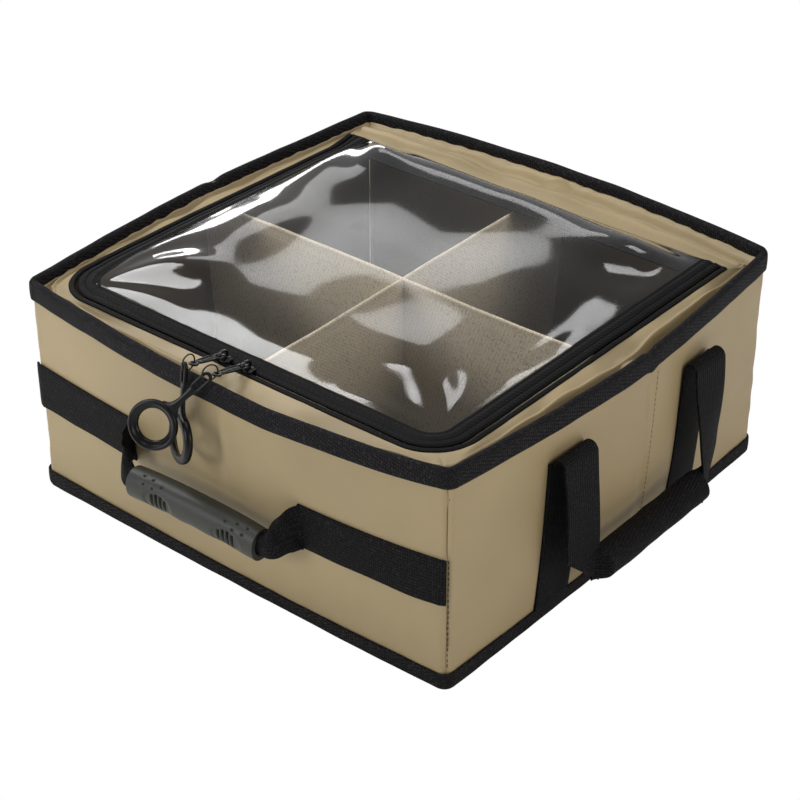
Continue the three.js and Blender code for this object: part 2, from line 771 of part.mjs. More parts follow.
// Middle of the hole at a tab's outer end
function tabHole(x) {
  const slope = THREE.MathUtils.degToRad(tabSlope);
  const reach = tabLength - tabEdge - tabHoleRadius;
  return new THREE.Vector3(x, crownPivot.y - reach * Math.cos(slope),
    crownPivot.z + reach * Math.sin(slope));
}

// Where the tip of a ring pull hangs in its link
function pullTip(x, sideways) {
  return tabHole(x).add(new THREE.Vector3(sideways, -tipOutwards, -tipDrop));
}

// Wire link that runs through the tab's hole and the pull's tip, standing over the rim
function linkGeometry(x, sideways) {
  const hole = tabHole(x);
  const tip = pullTip(x, sideways);
  const middle = hole.clone().add(tip).multiplyScalar(0.5);
  const half = hole.distanceTo(tip) / 2;
  const along = tip.clone().sub(hole).normalize();
  const across = along.clone().cross(new THREE.Vector3(0, 0, 1)).normalize();
  const up = across.clone().cross(along).normalize();
  const rise = Math.sqrt(linkRadius ** 2 - half ** 2);
  middle.addScaledVector(up, rise);
  const geometry = new THREE.TorusGeometry(linkRadius, linkWire, 6, 16);
  geometry.applyMatrix4(new THREE.Matrix4().makeBasis(along, up, across.negate()));
  geometry.translate(middle.x, middle.y, middle.z);
  return closedGeometry(geometry);
}

// Moulded ring pull: ring, stem with a long slot, and the slot's top end takes the link
function pullGeometry(tip, direction, facing) {
  const holeToCentre = pullStemLength - pullTipEdge - pullHangDepth + pullRingRadius;
  const stemHalf = pullStemWidth / 2;
  const joinAngle = Math.asin(stemHalf / pullRingRadius);
  const shape = new THREE.Shape();
  shape.absarc(0, 0, pullRingRadius, Math.PI / 2 + joinAngle, Math.PI / 2 - joinAngle, false);
  const tipY = holeToCentre + pullHangDepth + pullTipEdge;
  shape.lineTo(stemHalf, tipY - pullTipChamfer);
  shape.lineTo(stemHalf - pullTipChamfer, tipY);
  shape.lineTo(pullTipChamfer - stemHalf, tipY);
  shape.lineTo(-stemHalf, tipY - pullTipChamfer);
  const hole = new THREE.Path();
  hole.absarc(0, 0, pullHoleRadius, 0, 2 * Math.PI, true);
  const slot = new THREE.Path();
  const slotHalf = pullSlotWidth / 2;
  const slotTop = holeToCentre + pullHangDepth;
  slot.moveTo(-slotHalf, slotTop - pullSlotLength);
  slot.lineTo(-slotHalf, slotTop - pullSlotChamfer);
  slot.lineTo(pullSlotChamfer - slotHalf, slotTop);
  slot.lineTo(slotHalf - pullSlotChamfer, slotTop);
  slot.lineTo(slotHalf, slotTop - pullSlotChamfer);
  slot.lineTo(slotHalf, slotTop - pullSlotLength);
  shape.holes.push(hole, slot);
  const geometry = new THREE.ExtrudeGeometry(shape, {
    depth: pullThickness, bevelEnabled: false, curveSegments: 11,
  });
  geometry.translate(0, -holeToCentre, -pullThickness / 2);
  const up = direction.clone().normalize().negate();
  const normal = facing.clone().addScaledVector(up, -facing.dot(up)).normalize();
  const right = up.clone().cross(normal).normalize();
  geometry.applyMatrix4(new THREE.Matrix4().makeBasis(right, up, normal));
  geometry.translate(tip.x, tip.y, tip.z);
  return closedGeometry(geometry);
}

function addZipperPull(side, { sideways, direction, facing }) {
  const x = sliderXs[side];
  add(`slider_${side}`, sliderGeometry(x), 'slider');
  add(`pull_tab_${side}`, tabGeometry(x), 'slider');
  add(`link_ring_${side}`, linkGeometry(x, sideways), 'slider');
  add(`ring_pull_${side}`, pullGeometry(pullTip(x, sideways), direction, facing), 'pull');
}

addBase();
addWalls();
addBindings();
addBorder();
addZipperTapes();
addFilm();
addDividers();
addFrontStraps();
addFrontHandle();
addGrip();
['left', 'right'].forEach((side) => {
  addSideStraps(side);
  addSideHandle(side);
});
addZipperPull('left', leftPullHang);
addZipperPull('right', rightPullHang);

export default organizer;
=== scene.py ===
from math import atan2, copysign, cos, degrees, exp, hypot, pi, radians, sin, sqrt

import bmesh
import bpy
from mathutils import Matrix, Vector, noise


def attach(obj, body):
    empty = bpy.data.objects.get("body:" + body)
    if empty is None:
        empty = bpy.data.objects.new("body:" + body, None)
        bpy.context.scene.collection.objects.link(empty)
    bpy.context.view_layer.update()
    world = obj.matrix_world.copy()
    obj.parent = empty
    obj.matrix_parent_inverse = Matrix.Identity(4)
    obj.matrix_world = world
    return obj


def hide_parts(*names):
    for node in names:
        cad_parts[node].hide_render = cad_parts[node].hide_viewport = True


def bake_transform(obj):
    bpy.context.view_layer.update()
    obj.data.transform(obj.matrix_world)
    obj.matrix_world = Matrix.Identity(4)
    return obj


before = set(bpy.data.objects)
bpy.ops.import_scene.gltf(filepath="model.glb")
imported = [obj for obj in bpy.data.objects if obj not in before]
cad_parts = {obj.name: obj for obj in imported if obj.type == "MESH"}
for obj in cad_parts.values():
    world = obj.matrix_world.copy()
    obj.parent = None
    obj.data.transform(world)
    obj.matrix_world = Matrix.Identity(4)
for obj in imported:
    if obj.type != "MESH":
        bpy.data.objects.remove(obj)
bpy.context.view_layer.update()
print("frame loaded")

# Everything is modelled in millimetres and scaled to metres when a piece is finished.
# The bag's plan is measured at its corners; each wall bows outwards from them.
bag = {"length": 400, "depth": 392, "height": 183, "corner": 8, "bowAtBase": 0.1}
walls = {
    "front": {"bow": 20, "power": 2.0, "skew": 0.15, "node": "front_panel"},
    "right": {"bow": 16, "power": 1.4, "skew": 0.0, "node": "right_panel"},
    "back": {"bow": 16, "power": 2.0, "skew": 0.0, "node": "back_panel"},
    "left": {"bow": 11, "power": 1.4, "skew": 0.0, "node": "left_panel"},
}
loopSides = [("front", 1), ("right", 1), ("back", -1), ("left", -1)]


def srgb(code):
    parts = [int(code[i:i + 2], 16) / 255 for i in (1, 3, 5)]
    return [p / 12.92 if p <= 0.04045 else ((p + 0.055) / 1.055) ** 2.4 for p in parts] + [1]


def clamp(value):
    return min(1.0, max(0.0, value))


def smooth(share):
    return share * share * (3 - 2 * share)


def squared(value, power):
    # Powers under 1 turn a circle into a rounded square
    return copysign(abs(value) ** power, value)


def addObject(name, data):
    made = bpy.data.objects.new(name, data)
    bpy.context.scene.collection.objects.link(made)
    return made


def addNode(tree, kind, settings=None, values=None, links=None):
    node = tree.nodes.new("ShaderNode" + kind)
    for key, value in (settings or {}).items():
        setattr(node, key, value)
    for socket, value in (values or {}).items():
        node.inputs[socket].default_value = value
    for socket, source in (links or {}).items():
        tree.links.new(source, node.inputs[socket])
    return node


def newMaterial(name):
    material = bpy.data.materials.new(name)
    material.use_nodes = True
    material.node_tree.nodes.clear()
    return material, material.node_tree


def surface(tree, shader):
    addNode(tree, "OutputMaterial", links={"Surface": shader})


def blendColours(tree, share, low, high):
    ramp = addNode(tree, "Mix", {"data_type": "RGBA"}, links={0: share})
    ramp.inputs[6].default_value = srgb(low)
    ramp.inputs[7].default_value = srgb(high)
    return ramp.outputs[2]


def grain(tree, scale, detail):
    place = addNode(tree, "TexCoord").outputs["Object"]
    return addNode(tree, "TexNoise", values={"Scale": scale, "Detail": detail},
                   links={"Vector": place}).outputs["Fac"]


def clothBase(tree):
    # UVs are laid out in metres along the cloth, so this gives millimetres of cloth
    uv = addNode(tree, "UVMap")
    return addNode(tree, "VectorMath", {"operation": "SCALE"},
                   {"Scale": 1000}, {0: uv.outputs[0]}).outputs[0]


def ribs(tree, millimetres, spacing, angle):
    # One soft rib every spacing millimetres of cloth, turned by angle degrees
    turned = addNode(tree, "Mapping", {"vector_type": "TEXTURE"},
                     {"Rotation": (0, 0, radians(angle))}, {"Vector": millimetres})
    # a band of the wave texture is a full turn of 20 scale units long
    wave = addNode(tree, "TexWave", {"wave_type": "BANDS", "bands_direction": "X"},
                   {"Scale": pi / (10 * spacing), "Distortion": 0, "Detail": 1,
                    "Detail Scale": 0.4},
                   {"Vector": turned.outputs[0]})
    return wave.outputs["Fac"]


plainCloth = {"angle": 0, "crossAngle": 90, "patchScale": 30, "patches": 0.4, "sheen": 0.0,
              "specular": 0.5}


def wovenMaterial(name, own):
    look = {**plainCloth, **own}
    material, tree = newMaterial(name)
    millimetres = clothBase(tree)
    pattern = addNode(tree, "Math", {"operation": "MULTIPLY"}, links={
        0: ribs(tree, millimetres, look["spacing"], look["angle"]),
        1: ribs(tree, millimetres, look["crossSpacing"], look["crossAngle"])}).outputs[0]
    patches = grain(tree, look["patchScale"], 3)
    fine = grain(tree, 900, 2)
    threads = blendColours(tree, pattern, look["dark"], look["light"])
    if "fleck" in look:
        # single fibres of another shade that catch the light here and there
        flecks = grain(tree, 620, 1)
        share = addNode(tree, "MapRange",
                        values={"From Min": 0.56, "From Max": 0.68, "To Max": 0.55},
                        links={"Value": flecks})
        mixed = addNode(tree, "Mix", {"data_type": "RGBA"},
                        links={0: share.outputs[0], 6: threads})
        mixed.inputs[7].default_value = srgb(look["fleck"])
        threads = mixed.outputs[2]
    worn = addNode(tree, "Mix", {"data_type": "RGBA", "blend_type": "MULTIPLY"},
                   {0: look["patches"]}, {6: threads})
    shade = addNode(tree, "MapRange",
                    values={"From Min": 0.3, "From Max": 0.7, "To Min": 0.72, "To Max": 1.12},
                    links={"Value": patches})
    tree.links.new(shade.outputs[0], worn.inputs[7])
    height = addNode(tree, "Math", {"operation": "MULTIPLY_ADD"}, {1: 0.35},
                     {0: fine, 2: pattern})
    bump = addNode(tree, "Bump",
                   values={"Strength": look["strength"], "Distance": look["depth"] / 1000},
                   links={"Height": height.outputs[0]})
    shader = addNode(tree, "BsdfPrincipled",
                     values={"Roughness": look["roughness"], "IOR": 1.5,
                             "Sheen Weight": look["sheen"], "Sheen Roughness": 0.4,
                             "Specular IOR Level": look["specular"]},
                     links={"Base Color": worn.outputs[2], "Normal": bump.outputs[0]})
    surface(tree, shader.outputs[0])
    return material


# Coated polyester canvas: a tight weave under a thin coat, so it looks smooth with a satin gloss
canvas = wovenMaterial("coatedPolyesterCanvas", {
    "dark": "#9c8a67", "light": "#a79671", "spacing": 0.9, "crossSpacing": 0.9, "patchScale": 9,
    "strength": 0.25, "depth": 0.12, "roughness": 0.5, "sheen": 0.05})
# Plain polyester twill: diagonal ridges that catch the light, drawn at 2.3 mm so that they show
twill = wovenMaterial("polyesterTwill", {
    "dark": "#dacbae", "light": "#f0e2c8", "spacing": 2.3, "angle": 52, "crossAngle": -20,
    "crossSpacing": 2.9, "patchScale": 20, "patches": 0.3, "strength": 0.45, "depth": 0.25,
    "fleck": "#8d8068", "roughness": 0.85, "sheen": 0.15})
# Polypropylene webbing, woven: fine cords across its width with a slight shine; the cords' lighter
# colour is a painted highlight
webbing = wovenMaterial("wovenPolypropyleneWebbing", {
    "dark": "#020203", "light": "#1f1e22", "spacing": 1.75, "crossSpacing": 2.6, "strength": 0.8,
    "depth": 0.5, "fleck": "#2e2a2b", "roughness": 0.75, "specular": 0.14})
# Binding tape, twill woven: steep diagonal ridges whose blue-grey shine is a painted highlight in
# their lighter colour
bindingTape = wovenMaterial("twillBindingTape", {
    "dark": "#020203", "light": "#27272e", "spacing": 1.7, "angle": 8, "crossAngle": 70,
    "crossSpacing": 2.2, "strength": 0.9, "depth": 0.5, "fleck": "#3c3536", "roughness": 0.72,
    "specular": 0.16})
# Zipper tape, knitted: dense and even, duller than the binding
zipperTape = wovenMaterial("knittedZipperTape", {
    "dark": "#030303", "light": "#121113", "spacing": 1.9, "angle": 90, "crossAngle": 35,
    "crossSpacing": 2.2, "patches": 0.3, "strength": 0.6, "depth": 0.35, "roughness": 0.66,
    "specular": 0.15})
# Nylon lining on the floor board: plain weave, black and dull
lining = wovenMaterial("nylonLining", {
    "dark": "#0a0a0b", "light": "#161517", "spacing": 2.2, "crossSpacing": 2.2, "patchScale": 12,
    "strength": 0.15, "depth": 0.2, "roughness": 0.8, "specular": 0.2})
# The same nylon weave on the walls' inner faces, coloured dark earth brown as painted shade; dull,
# so the inside stays in shade
paintedShadeWallLining = wovenMaterial("innerWallPaintedShade", {
    "dark": "#4f4435", "light": "#5e513f", "spacing": 2.2, "crossSpacing": 2.2, "patchScale": 9,
    "patches": 0.5, "strength": 0.15, "depth": 0.2, "roughness": 0.8, "specular": 0.2})


def mouldedMaterial(name, look):
    material, tree = newMaterial(name)
    spark = grain(tree, look["grain"], 4)
    flow = grain(tree, 40, 2)
    colour = blendColours(tree, flow, look["dark"], look["light"])
    rough = addNode(tree, "MapRange",
                    values={"To Min": look["roughness"] - 0.06, "To Max": look["roughness"] + 0.1},
                    links={"Value": flow}).outputs[0]
    bump = addNode(tree, "Bump",
                   values={"Strength": look["strength"], "Distance": 0.0003},
                   links={"Height": spark})
    shader = addNode(tree, "BsdfPrincipled",
                     values={"Specular IOR Level": look.get("specular", 0.5), "IOR": 1.5,
                             "Coat Weight": look.get("coat", 0.0), "Coat Roughness": 0.15},
                     links={"Base Color": colour, "Roughness": rough, "Normal": bump.outputs[0]})
    surface(tree, shader.outputs[0])
    return material


# Polypropylene grip, moulded with a spark-eroded finish: an even, dull grey-green
gripPlastic = mouldedMaterial("mouldedPolypropylene", {
    "dark": "#22241f", "light": "#30322c", "roughness": 0.44, "grain": 1400, "strength": 0.35,
    "specular": 0.4})
# Soft PVC ring pulls, moulded: black with a broad soft gloss
pullPlastic = mouldedMaterial("mouldedSoftVinyl", {
    "dark": "#040405", "light": "#09090a", "roughness": 0.3, "grain": 700, "strength": 0.12,
    "specular": 0.25})
# Zinc die casting with baked black paint: thin and glossy, a little uneven
paintedZinc = mouldedMaterial("blackPaintedZinc", {
    "dark": "#030304", "light": "#070708", "roughness": 0.27, "grain": 900, "strength": 0.12,
    "specular": 0.35, "coat": 0.1})


def threadMaterial(name, dark, light):
    material, tree = newMaterial(name)
    twist = grain(tree, 1500, 2)
    shader = addNode(tree, "BsdfPrincipled", values={"Roughness": 0.6},
                     links={"Base Color": blendColours(tree, twist, dark, light)})
    surface(tree, shader.outputs[0])
    return material


# Bonded polyester sewing thread: a fine twist with a faint shine
blackThread = threadMaterial("blackSewingThread", "#0c0c0e", "#1c1c20")
tanThread = threadMaterial("tanSewingThread", "#7d6c4c", "#a08c66")


def filmMaterial():
    # Clear soft PVC, calendered: what lies under it shows slightly greyed, with sharp reflections
    material, tree = newMaterial("calenderedClearVinyl")
    ripple = grain(tree, 16, 0)
    bump = addNode(tree, "Bump", values={"Strength": 0.12, "Distance": 0.002},
                   links={"Height": ripple})
    clear = addNode(tree, "BsdfTransparent", values={"Color": (0.96, 0.962, 0.965, 1)})
    gloss = addNode(tree, "BsdfGlossy",
                    values={"Color": (1, 1, 1, 1), "Roughness": 0.07},
                    links={"Normal": bump.outputs[0]})
    # the share of gloss grows towards grazing alike on both faces, which a Fresnel node doesn't do
    facing = addNode(tree, "LayerWeight", values={"Blend": 0.5},
                     links={"Normal": bump.outputs[0]}).outputs["Facing"]
    steep = addNode(tree, "Math", {"operation": "POWER"}, {1: 4.0}, {0: facing})
    share = addNode(tree, "Math", {"operation": "MULTIPLY_ADD"}, {1: 0.95, 2: 0.03},
                    {0: steep.outputs[0]})
    both = addNode(tree, "MixShader",
                   links={0: share.outputs[0], 1: clear.outputs[0], 2: gloss.outputs[0]})
    surface(tree, both.outputs[0])
    return material


clearFilm = filmMaterial()
print("materials made")


def mapCloth(bm, change):
    # Moves each corner's place on the cloth; change takes that place and the corner's point
    layer = bm.loops.layers.uv.active
    for face in bm.faces:
        for loop in face.loops:
            loop[layer].uv = change(loop[layer].uv, loop.vert.co)


def bentGrid(columns, rows, place, size, closed=False):
    # A flat grid whose points are put in place by a function of their share across and up
    bm = bmesh.new()
    bm.loops.layers.uv.new("cloth")
    bmesh.ops.create_grid(bm, x_segments=columns, y_segments=rows, size=0.5)
    mapCloth(bm, lambda uv, spot: ((spot.x + 0.5) * size[0] / 1000,
                                   (spot.y + 0.5) * size[1] / 1000))
    for vert in bm.verts:
        vert.co = place(vert.co.x + 0.5, vert.co.y + 0.5)
    if closed:
        bmesh.ops.remove_doubles(bm, verts=bm.verts, dist=0.001)
    return bm


def faceOutwards(bm):
    # For an open sheet that stands on one side of the bag
    bmesh.ops.recalc_face_normals(bm, faces=bm.faces)
    first = next(iter(bm.faces))
    centre = first.calc_center_median()
    if first.normal.dot(Vector((centre.x, centre.y, 0))) < 0:
        bmesh.ops.reverse_faces(bm, faces=bm.faces)


def finishPiece(name, bm, material, body, nodes=(), thickness=0.0, offset=-1.0, bevel=0.0,
                levels=0, closed=False):
    if closed:
        bmesh.ops.recalc_face_normals(bm, faces=bm.faces)
    bmesh.ops.scale(bm, vec=(0.001, 0.001, 0.001), verts=bm.verts)
    mesh = bpy.data.meshes.new(name)
    bm.to_mesh(mesh)
    bm.free()
    mesh.materials.append(material)
    mesh.polygons.foreach_set("use_smooth", [True] * len(mesh.polygons))
    piece = addObject(name, mesh)
    if thickness:
        shell = piece.modifiers.new("thickness", "SOLIDIFY")
        shell.thickness = thickness / 1000
        shell.offset = offset
    if bevel:
        soft = piece.modifiers.new("softEdges", "BEVEL")
        soft.width = bevel / 1000
        soft.segments = 2
        soft.limit_method = "ANGLE"
        soft.angle_limit = radians(50)
    if levels:
        fine = piece.modifiers.new("smoothing", "SUBSURF")
        fine.levels = levels
        fine.render_levels = levels
    if isinstance(body, str):
        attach(piece, body)
    else:
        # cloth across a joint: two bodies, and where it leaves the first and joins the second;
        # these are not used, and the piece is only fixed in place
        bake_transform(piece)
    if nodes:
        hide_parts(*nodes)
    return piece


def wallBow(side, share, z):
    wall = walls[side]
    place = share - wall["skew"] * (1 - share * share)
    below = 1 - z / bag["height"]
    growth = 1 - (1 - bag["bowAtBase"]) * below * below
    return wall["bow"] * max(0.0, 1 - abs(place) ** wall["power"]) * growth


def halfRun(side):
    return (bag["length"] if side in ("front", "back") else bag["depth"]) / 2 - bag["corner"]


def wallPoint(side, run, z, out=0.0):
    # run is the distance along the wall from its middle; past its end it rounds the corner
    alongX = side in ("front", "back")
    half = halfRun(side)
    reach = (bag["depth"] if alongX else bag["length"]) / 2
    past = abs(run) - half
    if past > 0:
        turn = past / bag["corner"]
        along = half + (bag["corner"] + out) * sin(turn)
        away = reach - bag["corner"] + (bag["corner"] + out) * cos(turn)
    else:
        along = abs(run)
        away = reach + wallBow(side, run / half, z) + out
    along = copysign(along, run)
    away = -away if side in ("front", "left") else away
    return Vector((along, away, z)) if alongX else Vector((away, along, z))


def runAlong(side, share, arcShare=0.06):
    half = halfRun(side)
    arc = bag["corner"] * pi / 4
    if share < arcShare:
        return -half - arc * (1 - share / arcShare)
    if share > 1 - arcShare:
        return half + arc * (share - 1 + arcShare) / arcShare
    return half * (2 * (share - arcShare) / (1 - 2 * arcShare) - 1)


def loopPoint(turn, z, out=0.0):
    # turn runs from 0 to 4 round the bag, from the front left corner by the right
    side, sign = loopSides[int(turn) % 4]
    return wallPoint(side, sign * runAlong(side, turn % 1), z, out)


def lump(x, centre, width):
    return exp(-((x - centre) / width) ** 2)


def ripple(x, y, seed, scale):
    return noise.noise(Vector((x / scale, y / scale, seed)))


# Dents and folds in the walls: along the wall, height, half width, half height, depth in mm
wallDents = {
    "front": [(8, 140, 7, 34, -3.0), (17, 142, 7, 30, 2.2), (-4, 150, 5, 24, 1.6),
              (32, 128, 12, 22, -1.4), (150, 60, 60, 50, 1.5), (-20, 40, 90, 26, -1.2)],
    "right": [(20, 170, 5, 200, -1.8), (10, 40, 60, 30, 1.0), (110, 60, 50, 40, 1.4)],
    "back": [(0, 100, 60, 60, 1.5)],
    "left": [(0, 120, 5, 200, -1.8), (90, 80, 50, 60, 1.5)],
}


def wallRelief(side, run, z):
    # The board's soft unevenness, the folds, and puckers by the seams
    relief = 1.3 * ripple(run, z, walls[side]["bow"], 95)
    for centre, height, halfWidth, halfHeight, depth in wallDents[side]:
        relief += depth * lump(run, centre, halfWidth) * lump(z, height, halfHeight)
    toCorner = max(0.0, halfRun(side) + 6.3 - abs(run))
    toBase = max(0.0, z - 12)
    relief += 0.9 * ripple(z, run * 0.3, 7.5, 13) * exp(-toCorner / 14)
    relief += 0.7 * ripple(run, z * 0.3, 3.1, 16) * exp(-toBase / 9)
    relief -= 1.6 * exp(-(toCorner / 2.2) ** 2)
    return relief


board = {"foot": 3.3, "rise": 176.5, "thickness": 2.9}


def makeWalls():
    for side, wall in walls.items():

        def place(across, up, side=side):
            run = runAlong(side, across)
            z = board["foot"] + board["rise"] * up
            fade = min(1.0, (1 - up) * 12, up * 12)
            return wallPoint(side, run, z, wallRelief(side, run, z) * fade)

        bm = bentGrid(150, 60, place, (2 * halfRun(side) + 12.5, board["rise"]))
        faceOutwards(bm)
        piece = finishPiece("wall_" + side, bm, canvas, "shell", [wall["node"]],
                            thickness=board["thickness"])
        # the inner face wears the lining, whose dark brown is painted shade
        piece.data.materials.append(paintedShadeWallLining)
        piece.modifiers["thickness"].material_offset = 1


def sweepLoop(section, columns, wobble=None):
    # A closed band round the bag; section points are (out, z)
    lengths = [0.0]
    for (a, b), (c, d) in zip(section, section[1:]):
        lengths.append(lengths[-1] + hypot(c - a, d - b))
    total = lengths[-1]
    rows = len(section) - 1

    def place(across, up):
        out, z = section[round(up * rows)]
        turn = 4 * across
        if wobble:
            dOut, dZ = wobble(turn, up)
            out, z = out + dOut, z + dZ
        return loopPoint(turn if across < 1 else 0.0, z, out)

    return bentGrid(columns, rows, place, (1590, total), closed=True)


rim = {"outerDrop": 15, "innerDrop": 12, "outerFace": 1.8, "innerFace": -4.8, "thickness": 1.1}


def rimSection():
    top = bag["height"]
    radius = (rim["outerFace"] - rim["innerFace"]) / 2
    middle = rim["outerFace"] - radius
    points = [(rim["outerFace"] - 0.9, top - rim["outerDrop"] - 0.2)]
    points += [(rim["outerFace"] + 0.25 * sin(pi * k / 5),
                top - rim["outerDrop"] + k * (rim["outerDrop"] - radius) / 5) for k in range(5)]
    points += [(middle + radius * cos(pi * k / 8),
                top - radius + radius * sin(pi * k / 8)) for k in range(9)]
    points += [(rim["innerFace"], top - radius - k * (rim["innerDrop"] - radius) / 3)
               for k in range(1, 4)]
    return points


def rimWobble(turn, up):
    # The tape is slightly uneven, sags between the corners and is nipped at its folds
    ring = turn * 400
    out = 0.5 * ripple(ring, up * 3, 2.2, 22)
    z = 0.9 * ripple(ring, 0, 5.5, 46) - 0.9
    z -= 2.4 * lump(turn, 1.53, 0.012) + 2.2 * lump(turn, 3.47, 0.018)
    return out, min(z, 0)


def makeBindings():
    bm = sweepLoop(rimSection(), 640, rimWobble)
    finishPiece("rim_tape", bm, bindingTape, "shell", ["rim_binding"],
                thickness=rim["thickness"], closed=True)
    # the base binding climbs the walls to its top and turns in under the floor
    top = 14
    section = [(0.9, top + 0.2), (1.8, top - 0.6), (2.0, top - 5), (2.0, 6), (1.8, 2), (1.2, 0.7),
               (0.2, 0.1), (-3, 0.1), (-9, 0.1)]

    def wobble(turn, up):
        ring = turn * 400
        return 0.45 * ripple(ring, 0, 8.8, 24), 0.5 * ripple(ring, 0, 1.5, 40) * (up < 0.3)

    bm = sweepLoop(section, 560, wobble)
    finishPiece("base_tape", bm, bindingTape, "shell", ["base_binding"],
                thickness=rim["thickness"], closed=True)


makeWalls()
makeBindings()
print("walls and bindings made")


def roundedLoop(turn, box, radii, arcShare=0.16):
    # Round a box with round corners; it starts at the middle of the front left corner
    left, right, front, back = box
    corners = [Vector((left, front)), Vector((right, front)), Vector((right, back)),
               Vector((left, back))]
    side = int(turn) % 4
    share = turn % 1
    start, end = corners[side], corners[(side + 1) % 4]
    startRadius, endRadius = radii[side], radii[(side + 1) % 4]
    ahead = (end - start).normalized()
    inwards = Vector((-ahead.y, ahead.x))
    first = start + ahead * startRadius
    last = end - ahead * endRadius
    if share < arcShare:
        angle = pi / 4 * (1 - share / arcShare)
        return (first + inwards * startRadius * (1 - cos(angle))
                - ahead * startRadius * sin(angle))
    if share > 1 - arcShare:
        angle = pi / 4 * (share - 1 + arcShare) / arcShare
        return (last + inwards * endRadius * (1 - cos(angle)) + ahead * endRadius * sin(angle))
    return first.lerp(last, (share - arcShare) / (1 - 2 * arcShare))


zipper = {"sideX": 182, "frontY": -182, "endY": 155, "corner": 33, "top": 177, "slit": 1.6,
          "outer": 5, "bandRise": 1.6, "thickness": 1.0}
border = {"outerZ": 173.5, "innerZ": 177.0, "backY": 158.2, "sink": 6, "propZ": 173.0,
          "thickness": 0.9}


def lidLift(x, y, inwards):
    # The window pulls its left edge up, and the lid hangs lower at the back left
    left = clamp((-x - 130) / 30)
    back = clamp((y + 60) / 190) * clamp((156 - y) / 26)
    along = clamp((y + 178) / 60) * clamp((157 - y) / 40)
    return left * (6.0 * inwards * along - 3.6 * back * (1 - inwards * 0.5))


def makeBorder():
    reach = zipper["slit"] / 2 + zipper["outer"] - 0.8
    box = (-zipper["sideX"] - reach, zipper["sideX"] + reach, zipper["frontY"] - reach,
           border["backY"])
    radii = [zipper["corner"] + reach] * 2 + [4, 4]

    def place(across, up):
        turn = 4 * across if across < 1 else 0.0
        outer = loopPoint(turn, 180, -5.2)
        inner = roundedLoop(turn, box, radii, 0.06 if turn > 2 else 0.1)
        point = outer.xy.lerp(inner, up)
        z = border["outerZ"] + (border["innerZ"] - border["outerZ"]) * up
        middle = 4 * up * (1 - up)
        z -= border["sink"] * (1 - exp(-up * 12)) * (1 - up) ** 1.2
        # nipped in at the corners, with folds along the strip and puckers at the binding
        z -= 3 * lump((turn + 0.5) % 1, 0.5, 0.005) * (1 - up)
        z += lidLift(inner.x, inner.y, 0) * up
        z += 2.6 * middle * ripple(point.x, point.y, 4.4, 34)
        z += 2.2 * middle * ripple(turn * 90, up * 2.2, 9.1, 6.5)
        z += 1.4 * ripple(turn * 400, up * 6, 2.7, 9) * exp(-up * 5)
        fold = 0.46 + 0.16 * ripple(turn * 30, 0, 1.3, 9)
        z += 2.8 * lump(up, fold, 0.08) * (0.7 + ripple(turn * 60, 0, 3.3, 14))
        z -= 3.6 * lump(up, fold - 0.15, 0.05) * (0.9 + ripple(turn * 60, 0, 3.3, 14))
        # the dividers' ends prop the cloth up
        fromDivider = min(abs(point.x), abs(point.y))
        z = max(z, border["propZ"] - 0.35 * max(0.0, fromDivider - 4))
        return Vector((point.x, point.y, z))

    bm = bentGrid(720, 40, place, (1560, 28), closed=True)
    cloth = finishPiece("lid_edge_cloth", bm, canvas, "shell", ["lid_border"],
                        thickness=border["thickness"])


def tapeBand(name, offsets, heights, body, nodes):
    # Zipper tape along the slit from the back left, round the front, to the back right. turn
    # counts the window's sides, 0 at the front left corner; arc is a corner's half in turns.
    rows = len(offsets) - 1
    endY = zipper["endY"]
    first, run, arc = 3.05, 3.9, 0.16

    def place(across, up):
        offset = offsets[round(up * rows)]
        turn = (first + run * across) % 4
        left, right, front = (-zipper["sideX"] - offset, zipper["sideX"] + offset,
                              zipper["frontY"] - offset)
        corner = zipper["corner"] + offset
        outline = (left, right, front, endY + 1), [corner, corner, 1, 1]
        if turn >= 3:
            share = (turn - first) / 0.95
            if share > 0.8:
                point = roundedLoop(4 - arc + arc * (share - 0.8) / 0.2, *outline)
            else:
                point = Vector((left, endY + (front + corner - endY) * share / 0.8))
        elif turn <= 1:
            point = roundedLoop(min(turn, 0.99999), *outline)
        elif turn < 1.19:
            point = roundedLoop(1 + arc * (turn - 1) / 0.19, *outline)
        else:
            share = min(1.0, (turn - 1.19) / 0.76)
            point = Vector((right, front + corner + (endY - front - corner) * share))
        z = heights[round(up * rows)]
        z += 0.5 * ripple(point.x, point.y, 6.1, 40) + 0.25 * ripple(across * 900, up, 3.3, 9)
        z += lidLift(point.x, point.y, clamp(-offset / 22))
        return Vector((point.x, point.y, z))

    bm = bentGrid(520, rows, place, (1020, abs(offsets[-1] - offsets[0])))
    finishPiece(name, bm, zipperTape, body, nodes, thickness=zipper["thickness"])


def makeZipper():
    top = zipper["top"]
    half = zipper["slit"] / 2
    rise = zipper["bandRise"]
    outer = [(zipper["outer"], -0.1), (4.2, 0.9), (2.6, 1.2), (1.0, 0.9), (0.2, 0.1), (0, -1.0)]
    tapeBand("zipper_tape_outer", [half + out for out, _ in outer],
             [top + lift for _, lift in outer], "shell", ["zipper_outer_tape"])
    # the inner tape's seams: two rounded bands with sewn grooves between them
    inner = [(0, -1.0), (0.4, 0.4), (1.6, 1.3), (4.0, rise), (5.4, 1.1), (6.0, 0.5), (6.6, 1.0),
             (8.4, rise), (10.8, rise), (13.2, 1.3), (14, 0.5), (14.8, 1.1), (16.4, 0.9),
             (17.2, 0.1)]
    tapeBand("zipper_tape_inner", [-half - out for out, _ in inner],
             [top + lift for _, lift in inner], "lid", ["zipper_inner_tape"])


makeBorder()
makeZipper()
print("border and zipper made")

film = {"halfX": 165.4, "frontY": -165.4, "backY": 157.4, "edgeZ": 177.0, "dome": 13.5,
        "shoulder": 72, "backShoulder": 48, "thickness": 0.6}


